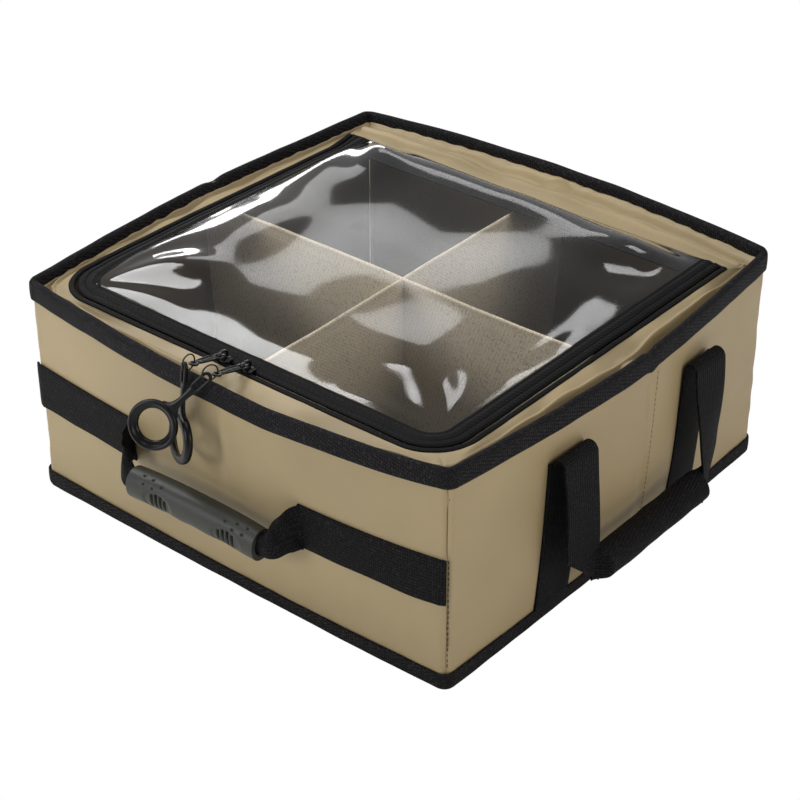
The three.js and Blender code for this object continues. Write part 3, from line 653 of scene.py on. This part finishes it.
def filmHeight(x, y):
    fromSide = film["halfX"] - abs(x)
    fromFront = y - film["frontY"]
    fromBack = film["backY"] - y

    def shoulderOf(distance, width):
        return 1 - (1 - min(max(distance, 0) / width, 1.0)) ** 2.1

    z = film["edgeZ"] + film["dome"] * shoulderOf(fromSide, film["shoulder"]) \
        * shoulderOf(fromFront, film["shoulder"]) * shoulderOf(fromBack, film["backShoulder"])
    z += 5.5 * shoulderOf(fromBack - 7, 30) * lump(fromBack, 26, 60) * shoulderOf(fromSide, 50)
    z += lidLift(-165, y, 1.0) * smooth(clamp((-x - 60) / 100))
    nearest = min(fromSide, fromFront, fromBack)
    inside = min(1.0, nearest / 14)
    z += 2.6 * inside * ripple(x, y, 1.7, 84)
    # folds that fan out from the corners
    for cornerX, cornerY, count, phase in ((-164, -164, 8, 0.4), (164, -164, 7, 1.1),
                                           (164, 157, 6, 2.2), (-164, 157, 9, 0.2)):
        away = hypot(x - cornerX, y - cornerY)
        angle = atan2(abs(y - cornerY), abs(x - cornerX))
        fold = sin(count * angle + phase + away / 60)
        z += 1.9 * fold * lump(away, 62, 34) * inside
    z += 0.8 * ripple(x, y, 8.3, 34) * exp(-nearest / 20) * min(1.0, nearest / 6)
    return z


def makeFilm():
    def place(across, up):
        x = -film["halfX"] + 2 * film["halfX"] * across
        y = film["frontY"] + (film["backY"] - film["frontY"]) * up
        return Vector((x, y, filmHeight(x, y)))

    bm = bentGrid(150, 150, place, (321, 318))
    finishPiece("clear_window", bm, clearFilm, "lid", ["window_film"],
                thickness=film["thickness"])


makeFilm()
print("film made")

divider = {"top": 170, "bottom": 3.4, "half": 1.5, "clearance": 3.6}


def makeDivider(name, ends, node, turned, bend):
    # a board under cloth: (out, share of the height), with a seam near the rounded top edge
    half, rounding = divider["half"], 0.009
    section = [(-half, 0.0), (-half, 0.93), (-half - 0.12, 0.936), (-half, 0.942), (-half, 0.985)]
    section += [(half * -cos(pi * k / 8),
                 1 - rounding + rounding * sin(pi * k / 8)) for k in range(9)]
    section += [(-a, b) for a, b in reversed(section[:5])]
    rows = len(section) - 1

    def place(across, up):
        side, share = section[round(up * rows)]
        z = divider["bottom"] + (divider["top"] - divider["bottom"]) * share
        low, high = (wallPoint(end, 0, z, -divider["clearance"]) for end in ends)
        first, last = (low.y, high.y) if turned else (low.x, high.x)
        along = first + (last - first) * across
        sideways = side * 1.02 + bend * sin(pi * 2 * across) * share ** 2
        sideways += 0.5 * ripple(along, z, 5.0, 50)
        z += 0.8 * ripple(along, 0, 2.0, 45) * share
        return Vector((-sideways, along, z)) if turned else Vector((along, sideways, z))

    bm = bentGrid(160, rows, place, (400, 336))
    # the weave keeps to the board's real width and height, also round its top edge
    mapCloth(bm, lambda uv, spot: ((spot.y if turned else spot.x) / 1000, spot.z / 1000))
    finishPiece(name, bm, twill, "shell", [node], closed=True)


makeDivider("cross_divider", ("left", "right"), "divider_cross", False, 1.5)
makeDivider("long_divider", ("front", "back"), "divider_long", True, -1.5)
print("dividers made")

strap = {"width": 38, "thickness": 1.8, "gap": 0.7, "bevel": 0.5, "frontZ": 101, "sideY": 81,
         "endX": 82, "cornerX": 197.6}
sideHandle = {"loopZ": 142, "loopRadius": 5, "rollRadius": 12, "standoff": 18, "rollZ": 49,
              "outerFoot": 67, "innerFoot": 33, "rollHalf": 62}


def wallStrap(name, side, runs, heights, nodes, vertical=False, fall=(0, 0)):
    def place(across, up):
        run = runs[0] + (runs[1] - runs[0]) * across
        z = heights[0] + (heights[1] - heights[0]) * up
        if not vertical:
            z -= fall[0] + (fall[1] - fall[0]) * across
            z -= 1.6 * (1 - up) * ripple(run, 0, 3.9, 38)
        edge = abs((across if vertical else up) - 0.5) * 2
        out = strap["gap"] + strap["thickness"] - 0.35 * edge ** 6
        out += 0.35 * ripple(run, z, 6.6, 30)
        return wallPoint(side, run, z, out)

    length, width = abs(runs[1] - runs[0]), abs(heights[1] - heights[0])
    bm = bentGrid(max(8, int(length / 4)), max(8, int(width / 4)), place, (length, width))
    if vertical:
        mapCloth(bm, lambda uv, spot: (uv.y, uv.x))
    faceOutwards(bm)
    finishPiece(name, bm, webbing, "shell", nodes, thickness=strap["thickness"],
                bevel=strap["bevel"])


def makeStraps():
    half = strap["width"] / 2
    z = (strap["frontZ"] - half, strap["frontZ"] + half)
    inner, outer = strap["endX"], strap["cornerX"]
    wallStrap("front_webbing_left", "front", (-outer, -inner), z, ["front_strap_left"],
              fall=(9, 6))
    wallStrap("front_webbing_right", "front", (inner, outer), z, ["front_strap_right"],
              fall=(6, 10))
    for side in ("left", "right"):
        for place, y in (("front", -strap["sideY"]), ("back", strap["sideY"])):
            wallStrap(f"{side}_webbing_{place}", side, (y - half, y + half),
                      (13, sideHandle["loopZ"]), [f"{side}_strap_{place}"], vertical=True)


makeStraps()


def slantCloth(bm, slope):
    # Turns the weave, as on webbing wound at a slant
    mapCloth(bm, lambda uv, spot: (uv.x + uv.y * slope, uv.y - uv.x * slope * 0.35))


def smoothPath(points, count):
    # Even steps along a smooth curve through the points
    fine = []
    last = len(points) - 1
    for i in range(last):
        p0, p1 = points[max(i - 1, 0)], points[i]
        p2, p3 = points[i + 1], points[min(i + 2, last)]
        for k in range(24):
            t = k / 24
            fine.append(0.5 * (2 * p1 + (p2 - p0) * t + (2 * p0 - 5 * p1 + 4 * p2 - p3) * t * t
                               + (3 * p1 - p0 - 3 * p2 + p3) * t * t * t))
    fine.append(points[-1])
    lengths = [0.0]
    for a, b in zip(fine, fine[1:]):
        lengths.append(lengths[-1] + (b - a).length)
    even = []
    j = 0
    for k in range(count + 1):
        want = lengths[-1] * k / count
        while j < len(fine) - 2 and lengths[j + 1] < want:
            j += 1
        span = max(lengths[j + 1] - lengths[j], 1e-6)
        even.append(fine[j].lerp(fine[j + 1], min(1.0, (want - lengths[j]) / span)))
    return even, lengths[-1]


# the front strap's free ends: flat at the wall, folded where they go into the grip
freeStrap = {"steps": 48, "halfWidth": 19, "pinch": 10.4, "halfThick": 1.1, "swell": 4.4}
grip = {"length": 123, "height": 25.5, "depth": 21.5, "x": 3, "y": -231, "z": 82.5, "arch": 2}


def makeFrontHandle():
    # The strap folds away from the wall, doubles up as it bends down, and goes into the grip
    for side, sign in (("left", -1), ("right", 1)):
        edgeX = strap["endX"]
        wallY = wallPoint("front", sign * edgeX, 96, strap["gap"] + strap["thickness"] / 2).y
        inside = grip["x"] + sign * grip["length"] / 2
        route = [Vector((sign * (edgeX + 3), wallY, 95)),
                 Vector((sign * (edgeX + 0.5), wallY - 3.5, 94.5)),
                 Vector((sign * (edgeX - 1.5), wallY - 8, 92)),
                 Vector((sign * (edgeX - 5), wallY - 13, 88)),
                 Vector((inside + sign * 8, grip["y"] + 0.5, grip["z"] + 1)),
                 Vector((inside, grip["y"], grip["z"])),
                 Vector((inside - sign * 14, grip["y"], grip["z"]))]
        even, length = smoothPath(route, freeStrap["steps"])

        def place(along, around, even=even, sign=sign):
            last = freeStrap["steps"]
            k = round(along * last)
            ahead = (even[min(k + 1, last)] - even[max(k - 1, 0)]).normalized()
            across = Vector((0, 0, 1))
            across = (across - ahead * across.dot(ahead)).normalized()
            out = ahead.cross(across)
            folded = smooth(clamp((along - 0.06) / 0.6))
            wide = freeStrap["halfWidth"] - freeStrap["pinch"] * folded
            thick = freeStrap["halfThick"] + freeStrap["swell"] * folded
            angle = (around if around < 1 else 0.0) * 2 * pi
            c, s = cos(angle), sin(angle)
            roll = 0.7 * folded * sin(3 * angle + 1)
            return (even[k] + across * (squared(c, 0.75) * wide)
                    + out * (squared(s, 0.75) * thick + roll * 0.5))

        bm = bentGrid(freeStrap["steps"], 40, place, (length, 2 * strap["width"]), closed=True)
        slantCloth(bm, 0.5 * sign)
        crossing = ("shell", "front_handle", (sign * edgeX / 1000, 0, 0), (inside / 1000, 0, 0))
        finishPiece(f"front_handle_loop_{side}", bm, webbing, crossing,
                    ["front_handle_webbing"], closed=True)


def gripPoint(across, turn):
    # across runs in at the near end's opening, over its cut face, along the grip and back in
    lip = 0.06
    share = across * (1 + 2 * lip) - lip
    ends = clamp(share)
    past = abs(share - ends) / lip
    face = 1 - 0.36 * min(1.0, past * 2)
    inwards = max(0.0, past * 2 - 1) * 9
    x = (ends - 0.5) * (grip["length"] - 2 * inwards)
    edge = abs(ends - 0.5) * 2
    angle = turn * 2 * pi
    out, up = cos(angle), sin(angle)
    y = squared(out, 0.9) * grip["depth"] / 2
    z = squared(up, 0.9) * grip["height"] / 2
    if up < 0:
        # finger rests along the lower edge
        z *= 1 + 0.05 * up * (1 + cos((x - 3) * 2 * pi / 24)) * (1 - edge ** 4)
    scale = (1 - 0.05 * edge ** 4) * face
    return Vector((x, y * scale, z * scale)), angle, past


def makeGrip():
    # Slots, an oval hollow round them and dots are pressed into the face that looks forwards
    slots = [(26, 4.6), (30.3, 6.4), (34.7, 6.9), (39, 5.6)]
    dots = [(31, -4.7), (41, -7.5), (39, -1.0), (50, -8.1), (48, -1.4)]

    def place(across, turn):
        point, angle, past = gripPoint(across, turn if turn < 1 else 0.0)
        x, y, z = point
        press = 0.0
        if past == 0:
            far = abs(x - 3)
            arc = (degrees(angle) - 196) * 0.2
            oval = ((far - 33.5) / 13.5) ** 2 + (arc / 8.6) ** 2
            press += 0.9 / (1 + exp(min(50, (oval - 1) * 12)))
            for centre, half in slots:
                inSlot = 1 / (1 + exp(min(50, (abs(far - centre) - 1.15) * 9)))
                press += 3.0 * inSlot / (1 + exp(min(50, (abs(arc) - half) * 4)))
            arc = (degrees(angle) - 150) * 0.2
            for dotX, dotArc in dots:
                press += 1.6 * lump(hypot(far - dotX, arc - dotArc), 0, 0.95)
        outward = Vector((0, y, z)).normalized()
        point -= outward * press
        lift = grip["arch"] * (0.35 - (x / (grip["length"] / 2)) ** 2)
        return point + Vector((grip["x"], grip["y"], grip["z"] + lift))

    bm = bentGrid(380, 132, place, (128, 75), closed=True)
    finishPiece("moulded_grip", bm, gripPlastic, "front_handle", ["front_grip"],
                closed=True)


makeFrontHandle()
makeGrip()
print("front handle made")


def makeSideHandle(side):
    sign = -1 if side == "left" else 1
    half = strap["width"] / 2
    wallX = abs(wallPoint(side, strap["sideY"] - half, sideHandle["loopZ"], 0).x)
    radius = sideHandle["loopRadius"]
    axisX = wallX + strap["gap"] + strap["thickness"] / 2 + radius
    footX = wallX + sideHandle["standoff"]
    rollX = footX + strap["thickness"]
    over = 0.14
    for place, y in (("front", -strap["sideY"]), ("back", strap["sideY"])):
        twist = 0.05 if y < 0 else 0.42

        def legPoint(along, up, y=y, twist=twist):
            # The strap turns over at the top, hangs, and its foot is folded along a slant
            inwards = up if y < 0 else 1 - up
            offset = (up * 2 - 1) * half
            if along < over:
                angle = pi * (1 - along / over)
                x = axisX + radius * cos(angle)
                z = sideHandle["loopZ"] + radius * sin(angle)
                return Vector((sign * x, y + offset * (1 - 0.03 * sin(angle)), z))
            fall = (along - over) / (1 - over)
            outer, inner = sideHandle["outerFoot"], sideHandle["innerFoot"]
            foot = outer + (inner - outer) * inwards
            z = sideHandle["loopZ"] + (foot - sideHandle["loopZ"]) * fall
            x = axisX + radius + (footX - axisX - radius) * fall
            x += 1.6 * sin(pi * fall) + 0.9 * ripple(y + offset * 0.6, z, 2.4, 28)
            turn = twist * smooth(fall)
            narrow = 1 - 0.16 * turn
            x += (inwards * 2 - 1) * half * sin(turn) * 0.75
            return Vector((sign * x, y + offset * narrow * cos(turn), z))

        bm = bentGrid(64, 14, legPoint, (118, strap["width"]))
        crossing = ("shell", f"{side}_carry", (sign * (axisX - radius) / 1000, 0, 0),
                    (sign * (axisX + radius) / 1000, 0, 0))
        finishPiece(f"{side}_handle_leg_{place}", bm, webbing, crossing,
                    [f"{side}_handle"], thickness=strap["thickness"], offset=0.0,
                    bevel=strap["bevel"])
    reach = sideHandle["rollHalf"] + 8

    def rollPoint(across, turn):
        # The webbing wound on itself; towards the legs it flattens and runs into their folds
        y = (across * 2 - 1) * reach
        flat = smooth(clamp((abs(y) - reach + 9) / 9))
        angle = (turn if turn < 1 else 0.0) * 2 * pi
        swell = 1 + 0.04 * sin(3 * angle + y / 30) + 0.05 * ripple(y, angle * 5, 4.0, 16)
        wide = sideHandle["rollRadius"] * swell * (1 - flat) + 1.2 * flat
        tall = sideHandle["rollRadius"] * swell * (1 - flat) + 13 * flat
        x = rollX + (footX - rollX) * flat + wide * cos(angle)
        z = sideHandle["rollZ"] + wideDrop(y, reach) + tall * sin(angle)
        return Vector((sign * x, y, z))

    bm = bentGrid(150, 44, rollPoint, (2 * reach, 75), closed=True)
    slantCloth(bm, 0.9)
    finishPiece(f"{side}_handle_roll", bm, webbing, f"{side}_carry",
                [f"{side}_handle"], closed=True)


def wideDrop(y, reach):
    # The roll sags a little between its legs
    return -1.6 * (1 - (y / reach) ** 2)


makeSideHandle("left")
makeSideHandle("right")
print("side handles made")

slider = {"xs": {"left": -13, "right": 9}, "length": 14, "width": 9, "pivotZ": 181.15}
tab = {"length": 33, "slope": 13, "hole": 29.2, "half": 4.1, "thickness": 1.4}
link = {"radius": 6, "wire": 0.55, "out": 9.2, "drop": 1.0}
pull = {"ring": 18.5, "hole": 11.5, "toRing": 51.5, "depth": 6.0,
        "left": {"sideways": 0, "direction": (0.03, -0.18, -0.984), "facing": (0.43, 0.88, -0.21)},
        "right": {"sideways": -3, "direction": (-0.537, -0.477, -0.695),
                  "facing": (0.54, -0.65, 0.53)}}


def turns(count):
    return [2 * pi * k / count for k in range(count)]


def addBlock(bm, size, place, bevelWidth, segments=2):
    made = bmesh.ops.create_cube(bm, size=1)
    bmesh.ops.scale(bm, vec=size, verts=made["verts"])
    bmesh.ops.translate(bm, vec=place, verts=made["verts"])
    edges = list({edge for vert in made["verts"] for edge in vert.link_edges})
    bmesh.ops.bevel(bm, geom=edges, offset=bevelWidth, affect="EDGES", segments=segments,
                    profile=0.5, material=-1)


def joinRings(bm, rings, loop):
    sides = len(rings[0])
    for a, b in zip(rings, rings[1:] + (rings[:1] if loop else [])):
        for k in range(sides):
            bm.faces.new((a[k], a[(k + 1) % sides], b[(k + 1) % sides], b[k]))


def addBar(bm, stations, loop=False, sides=14, power=0.7):
    # A bar through stations of (middle, half width vector, half thickness vector)
    rings = []
    for middle, wide, thick in stations:
        ring = []
        for angle in turns(sides):
            c, s = cos(angle), sin(angle)
            ring.append(bm.verts.new(middle + wide * squared(c, power)
                                     + thick * squared(s, power)))
        rings.append(ring)
    joinRings(bm, rings, loop)
    if not loop:
        bm.faces.new(rings[0][::-1])
        bm.faces.new(rings[-1])


def tabFrame(side):
    slope = radians(tab["slope"])
    along = Vector((0, -cos(slope), sin(slope)))
    up = Vector((0, sin(slope), cos(slope)))
    pivot = Vector((slider["xs"][side], zipper["frontY"], slider["pivotZ"]))
    return pivot, along, Vector((1, 0, 0)), up


def makeTab(side):
    # A cast tab: two arms round the crown, a panel with cross ridges, and an eye at its end
    pivot, along, across, up = tabFrame(side)
    bm = bmesh.new()
    thin = tab["thickness"] / 2

    def at(reach, sideways=0.0, lift=0.0):
        return pivot + along * reach + across * sideways + up * lift

    addBar(bm, [(at(0, x), along * 0.9, up * thin) for x in (-4.1, -2, 0, 2, 4.1)])
    for sign in (-1, 1):
        addBar(bm, [(at(reach, sign * offset), across * wide, up * thin)
                    for reach, offset, wide in ((0, 3.2, 0.9), (2, 3.1, 1.0), (5, 3.0, 1.05),
                                                (8, 2.8, 1.2))])
        addBar(bm, [(at(reach, sign * offset, 0.35), across * 0.55, up * 0.75)
                    for reach, offset in ((7, 3.3), (12, 3.1), (18, 2.8), (23, 2.4))])
    addBar(bm, [(at(reach), across * wide, up * (thin * 0.8))
                for reach, wide in ((6.6, 3.6), (9, 3.5), (14, 3.3), (20, 2.9), (24, 2.5),
                                    (26.8, 2.2))])
    for k in range(8):
        reach = 9 + 1.7 * k
        wide = 2.7 - 0.05 * k
        addBar(bm, [(at(reach, x, 0.45), along * 0.42, up * 0.4) for x in (-wide, 0, wide)])
    addBar(bm, [(at(24.4, x, 0.3), along * 0.7, up * 0.8) for x in (-2.4, 0, 2.4)])
    addBar(bm, [(at(tab["hole"]) + along * (2.75 * cos(a)) + across * (2.75 * sin(a)),
                 along * (0.85 * cos(a)) + across * (0.85 * sin(a)), up * 0.85)
                for a in turns(24)], loop=True)
    finishPiece(f"zip_tab_{side}", bm, paintedZinc, f"tab_{side}",
                [f"pull_tab_{side}"], closed=True)


def pullTip(side):
    pivot, along, _, _ = tabFrame(side)
    return (pivot + along * tab["hole"]
            + Vector((pull[side]["sideways"], -link["out"], -link["drop"])))


def makeLink(side):
    pivot, along, _, _ = tabFrame(side)
    hole, tip = pivot + along * tab["hole"], pullTip(side)
    ahead = (tip - hole).normalized()
    across = ahead.cross(Vector((0, 0, 1))).normalized()
    up = across.cross(ahead)
    half = (tip - hole).length / 2
    middle = (hole + tip) / 2 + up * sqrt(link["radius"] ** 2 - half ** 2)
    bm = bmesh.new()
    stations = []
    for angle in turns(48):
        radial = ahead * cos(angle) + up * sin(angle)
        stations.append((middle + radial * link["radius"], radial * link["wire"],
                         across * link["wire"]))
    addBar(bm, stations, loop=True, sides=10, power=1.0)
    finishPiece(f"wire_link_{side}", bm, paintedZinc, f"link_{side}",
                [f"link_ring_{side}"], closed=True)


def makePull(side):
    # A moulded ring with a raised outer bead and a dished inside, on a stem with a long slot
    tip = pullTip(side)
    up = -Vector(pull[side]["direction"]).normalized()
    facing = Vector(pull[side]["facing"])
    normal = (facing - up * facing.dot(up)).normalized()
    right = up.cross(normal).normalized()
    centre = tip - up * pull["toRing"]
    bm = bmesh.new()
    deep = pull["depth"] / 2
    section = [(0.0, 0.0), (-0.2, 0.55), (-0.9, 0.88), (-2.0, 1.0), (-3.0, 0.9), (-3.8, 0.62),
               (-4.6, 0.36), (-5.6, 0.2), (-6.4, 0.0), (-6.9, -0.3), (-7.0, -0.62), (-6.6, -0.9),
               (-5.2, -1.0), (-3.4, -1.0), (-1.6, -0.94), (-0.5, -0.6)]
    rings = []
    for angle in turns(84):
        radial = right * cos(angle) + up * sin(angle)
        rings.append([bm.verts.new(centre + radial * (pull["ring"] + dr) + normal * (deep * n))
                      for dr, n in section])
    joinRings(bm, rings, True)
    stem = [(-34.6, 9.2, 1.5), (-33.4, 7.4, 1.75), (-32, 5.3, 1.9), (-30, 3.7, 1.95),
            (-27, 2.7, 1.9), (-23, 2.35, 1.8), (-18, 2.4, 1.7), (-13.5, 2.9, 1.6),
            (-10.5, 3.3, 1.5), (-8.6, 2.6, 1.35)]
    addBar(bm, [(tip + up * v, right * wide, normal * thick) for v, wide, thick in stem], sides=18,
           power=0.75)
    loop = []
    low, high, half = -8.2, 2.2, 2.9
    for angle in turns(40):
        c, s = cos(angle), sin(angle)
        v = (high if s > 0 else low) + s * half
        radial = right * c + up * s
        loop.append((tip + right * (c * half) + up * v, radial * 1.25, normal * 1.5))
    addBar(bm, loop, loop=True, sides=12, power=0.75)
    finishPiece(f"moulded_pull_{side}", bm, pullPlastic, f"pull_{side}",
                [f"ring_pull_{side}"], levels=1, closed=True)


def makeSlider(side):
    # Two plates with rounded noses, joined by a post, with an arched crown over the tab's bar
    x = slider["xs"][side]
    y, top = zipper["frontY"], zipper["top"] + 2.1
    bm = bmesh.new()
    for z, thick in ((top, 0.85), (zipper["top"] - 2.3, 0.8)):
        addBar(bm, [(Vector((x + along, y, z)), Vector((0, wide, 0)), Vector((0, 0, thick)))
                    for along, wide in ((-7, 2.0), (-6.3, 3.0), (-4.5, 3.9), (-1.5, 4.5),
                                        (2.5, 4.5), (5, 4.2), (6.6, 3.5), (7, 2.9))],
               sides=16, power=0.55)
    addBlock(bm, (4.6, 1.0, 4), (x, y, top - 2), 0.3)
    for sign in (-1, 1):
        addBar(bm, [(Vector((x + sign * 4.9, y + offset, top + 0.75)), Vector((0.5, 0, 0)),
                     Vector((0, 0, 0.5))) for offset in (-3.4, 0, 3.4)], sides=10)
    crown = [(-4.1, 0.2), (-4.1, 2.4), (-3.7, 4.0), (-2.6, 4.9), (0, 5.2), (2.6, 4.9), (3.7, 4.0),
             (4.1, 2.4), (4.1, 0.2)]
    stations = []
    for k, (along, lift) in enumerate(crown):
        before, after = crown[max(k - 1, 0)], crown[min(k + 1, len(crown) - 1)]
        ahead = Vector((0, after[0] - before[0], after[1] - before[1])).normalized()
        stations.append((Vector((x, y + along, top + lift)), Vector((1.25, 0, 0)),
                         Vector((0, -ahead.z, ahead.y)) * 0.75))
    addBar(bm, stations, sides=12, power=0.6)
    finishPiece(f"zip_slider_{side}", bm, paintedZinc, f"zip_{side}",
                [f"slider_{side}"], closed=True)


for name in ("left", "right"):
    makeSlider(name)
    makeTab(name)
    makeLink(name)
    makePull(name)

stitch = {"length": 2.9, "gap": 1.7, "width": 0.36, "foot": 18, "rise": 146}


def makeStitches(name, thread, side, run):
    # A row of short thread bars up a wall
    bm = bmesh.new()
    step = stitch["length"] + stitch["gap"]

    def seamPoint(up):
        z = stitch["foot"] + up
        return wallPoint(side, run, z, wallRelief(side, run, z) + 0.1)

    for k in range(int(stitch["rise"] / step)):
        start, end = (seamPoint(k * step + ahead) for ahead in (0, stitch["length"]))
        ahead = (end - start).normalized()
        across = ahead.orthogonal().normalized()
        other = ahead.cross(across)
        addBar(bm, [(start.lerp(end, share), across * wide, other * wide)
                    for share, wide in ((0, 0.16), (0.2, stitch["width"]),
                                        (0.8, stitch["width"]), (1, 0.16))], sides=6, power=1.0)
    finishPiece(name, bm, thread, "shell", closed=True)


makeStitches("panel_stitches", tanThread, "right", 26)
makeStitches("corner_stitches", blackThread, "front", 199.5)
for name, chosen in (("base_panel", lining), ("back_edge_tape", bindingTape)):
    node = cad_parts[name]
    node.data.materials.clear()
    node.data.materials.append(chosen)
print("small parts made")


def makeStage():
    material, tree = newMaterial("paperSweep")
    light = addNode(tree, "LightPath")
    paper = addNode(tree, "BsdfDiffuse", values={"Color": srgb("#f4f4f2")})
    glow = addNode(tree, "Emission", values={"Color": (1, 1, 1, 1), "Strength": 1.0})
    both = addNode(tree, "MixShader",
                   links={0: light.outputs["Is Camera Ray"], 1: paper.outputs[0],
                          2: glow.outputs[0]})
    surface(tree, both.outputs[0])
    bm = bmesh.new()
    bmesh.ops.create_grid(bm, x_segments=1, y_segments=1, size=3)
    mesh = bpy.data.meshes.new("studio_floor")
    bm.to_mesh(mesh)
    bm.free()
    mesh.materials.append(material)
    floor = addObject("studio_floor", mesh)
    floor.location.z = -0.0005


def areaLight(name, place, target, size, power, colour=(1, 1, 1)):
    data = bpy.data.lights.new(name, "AREA")
    data.shape = "RECTANGLE"
    data.size, data.size_y = size
    data.energy = power
    data.color = colour
    lamp = addObject(name, data)
    lamp.location = place
    lamp.rotation_euler = (Vector(target) - Vector(place)).to_track_quat("-Z", "Y").to_euler()


def makeLights():
    areaLight("overhead_softbox", (0.05, 0.1, 1.9), (0, 0, 0.1), (0.9, 0.9), 9)
    areaLight("high_left_softbox", (-1.15, -0.15, 1.35), (0, 0, 0.1), (0.9, 0.8), 15)
    areaLight("front_softbox", (-0.7, -1.9, 0.8), (0, 0, 0.1), (1.0, 0.8), 17.5)
    areaLight("right_softbox", (1.9, 0.1, 0.9), (0, 0, 0.1), (0.8, 0.9), 13, (1, 0.955, 0.92))
    areaLight("back_card", (-1.2, 1.5, 1.15), (0, 0, 0.18), (0.8, 0.35), 1.1)
    areaLight("high_back_card", (0.12, 1.15, 1.4), (0, 0, 0.18), (0.4, 0.2), 1.0)
    areaLight("low_back_strip", (-1.5, 1.35, 0.42), (0, 0, 0.15), (0.8, 0.28), 3)
    world = bpy.data.worlds.new("studio")
    bpy.context.scene.world = world
    world.use_nodes = True
    tree = world.node_tree
    tree.nodes.clear()
    path = addNode(tree, "LightPath")
    soft = addNode(tree, "Background", values={"Color": (1, 1, 1, 1), "Strength": 0.28})
    white = addNode(tree, "Background", values={"Color": (1, 1, 1, 1), "Strength": 1.0})
    both = addNode(tree, "MixShader",
                   links={0: path.outputs["Is Camera Ray"], 1: soft.outputs[0],
                          2: white.outputs[0]})
    addNode(tree, "OutputWorld", links={"Surface": both.outputs[0]})


# The photo's camera, as fitted to the bag's corners and edges
view = {"lens": 95.12, "sensor": 36, "place": (0.8879, -1.0781, 0.9416),
        "towards": (-1.4052, 1.7007, -1.3909)}


def makeCamera():
    data = bpy.data.cameras.new("photo_camera")
    data.lens = view["lens"]
    data.sensor_width = view["sensor"]
    data.clip_end = 20
    camera = addObject("photo_camera", data)
    camera.location = view["place"]
    camera.rotation_euler = Vector(view["towards"]).to_track_quat("-Z", "Y").to_euler()
    bpy.context.scene.camera = camera


makeStage()
makeLights()
makeCamera()
bpy.context.scene.view_settings.view_transform = "Standard"
print("scene ready")
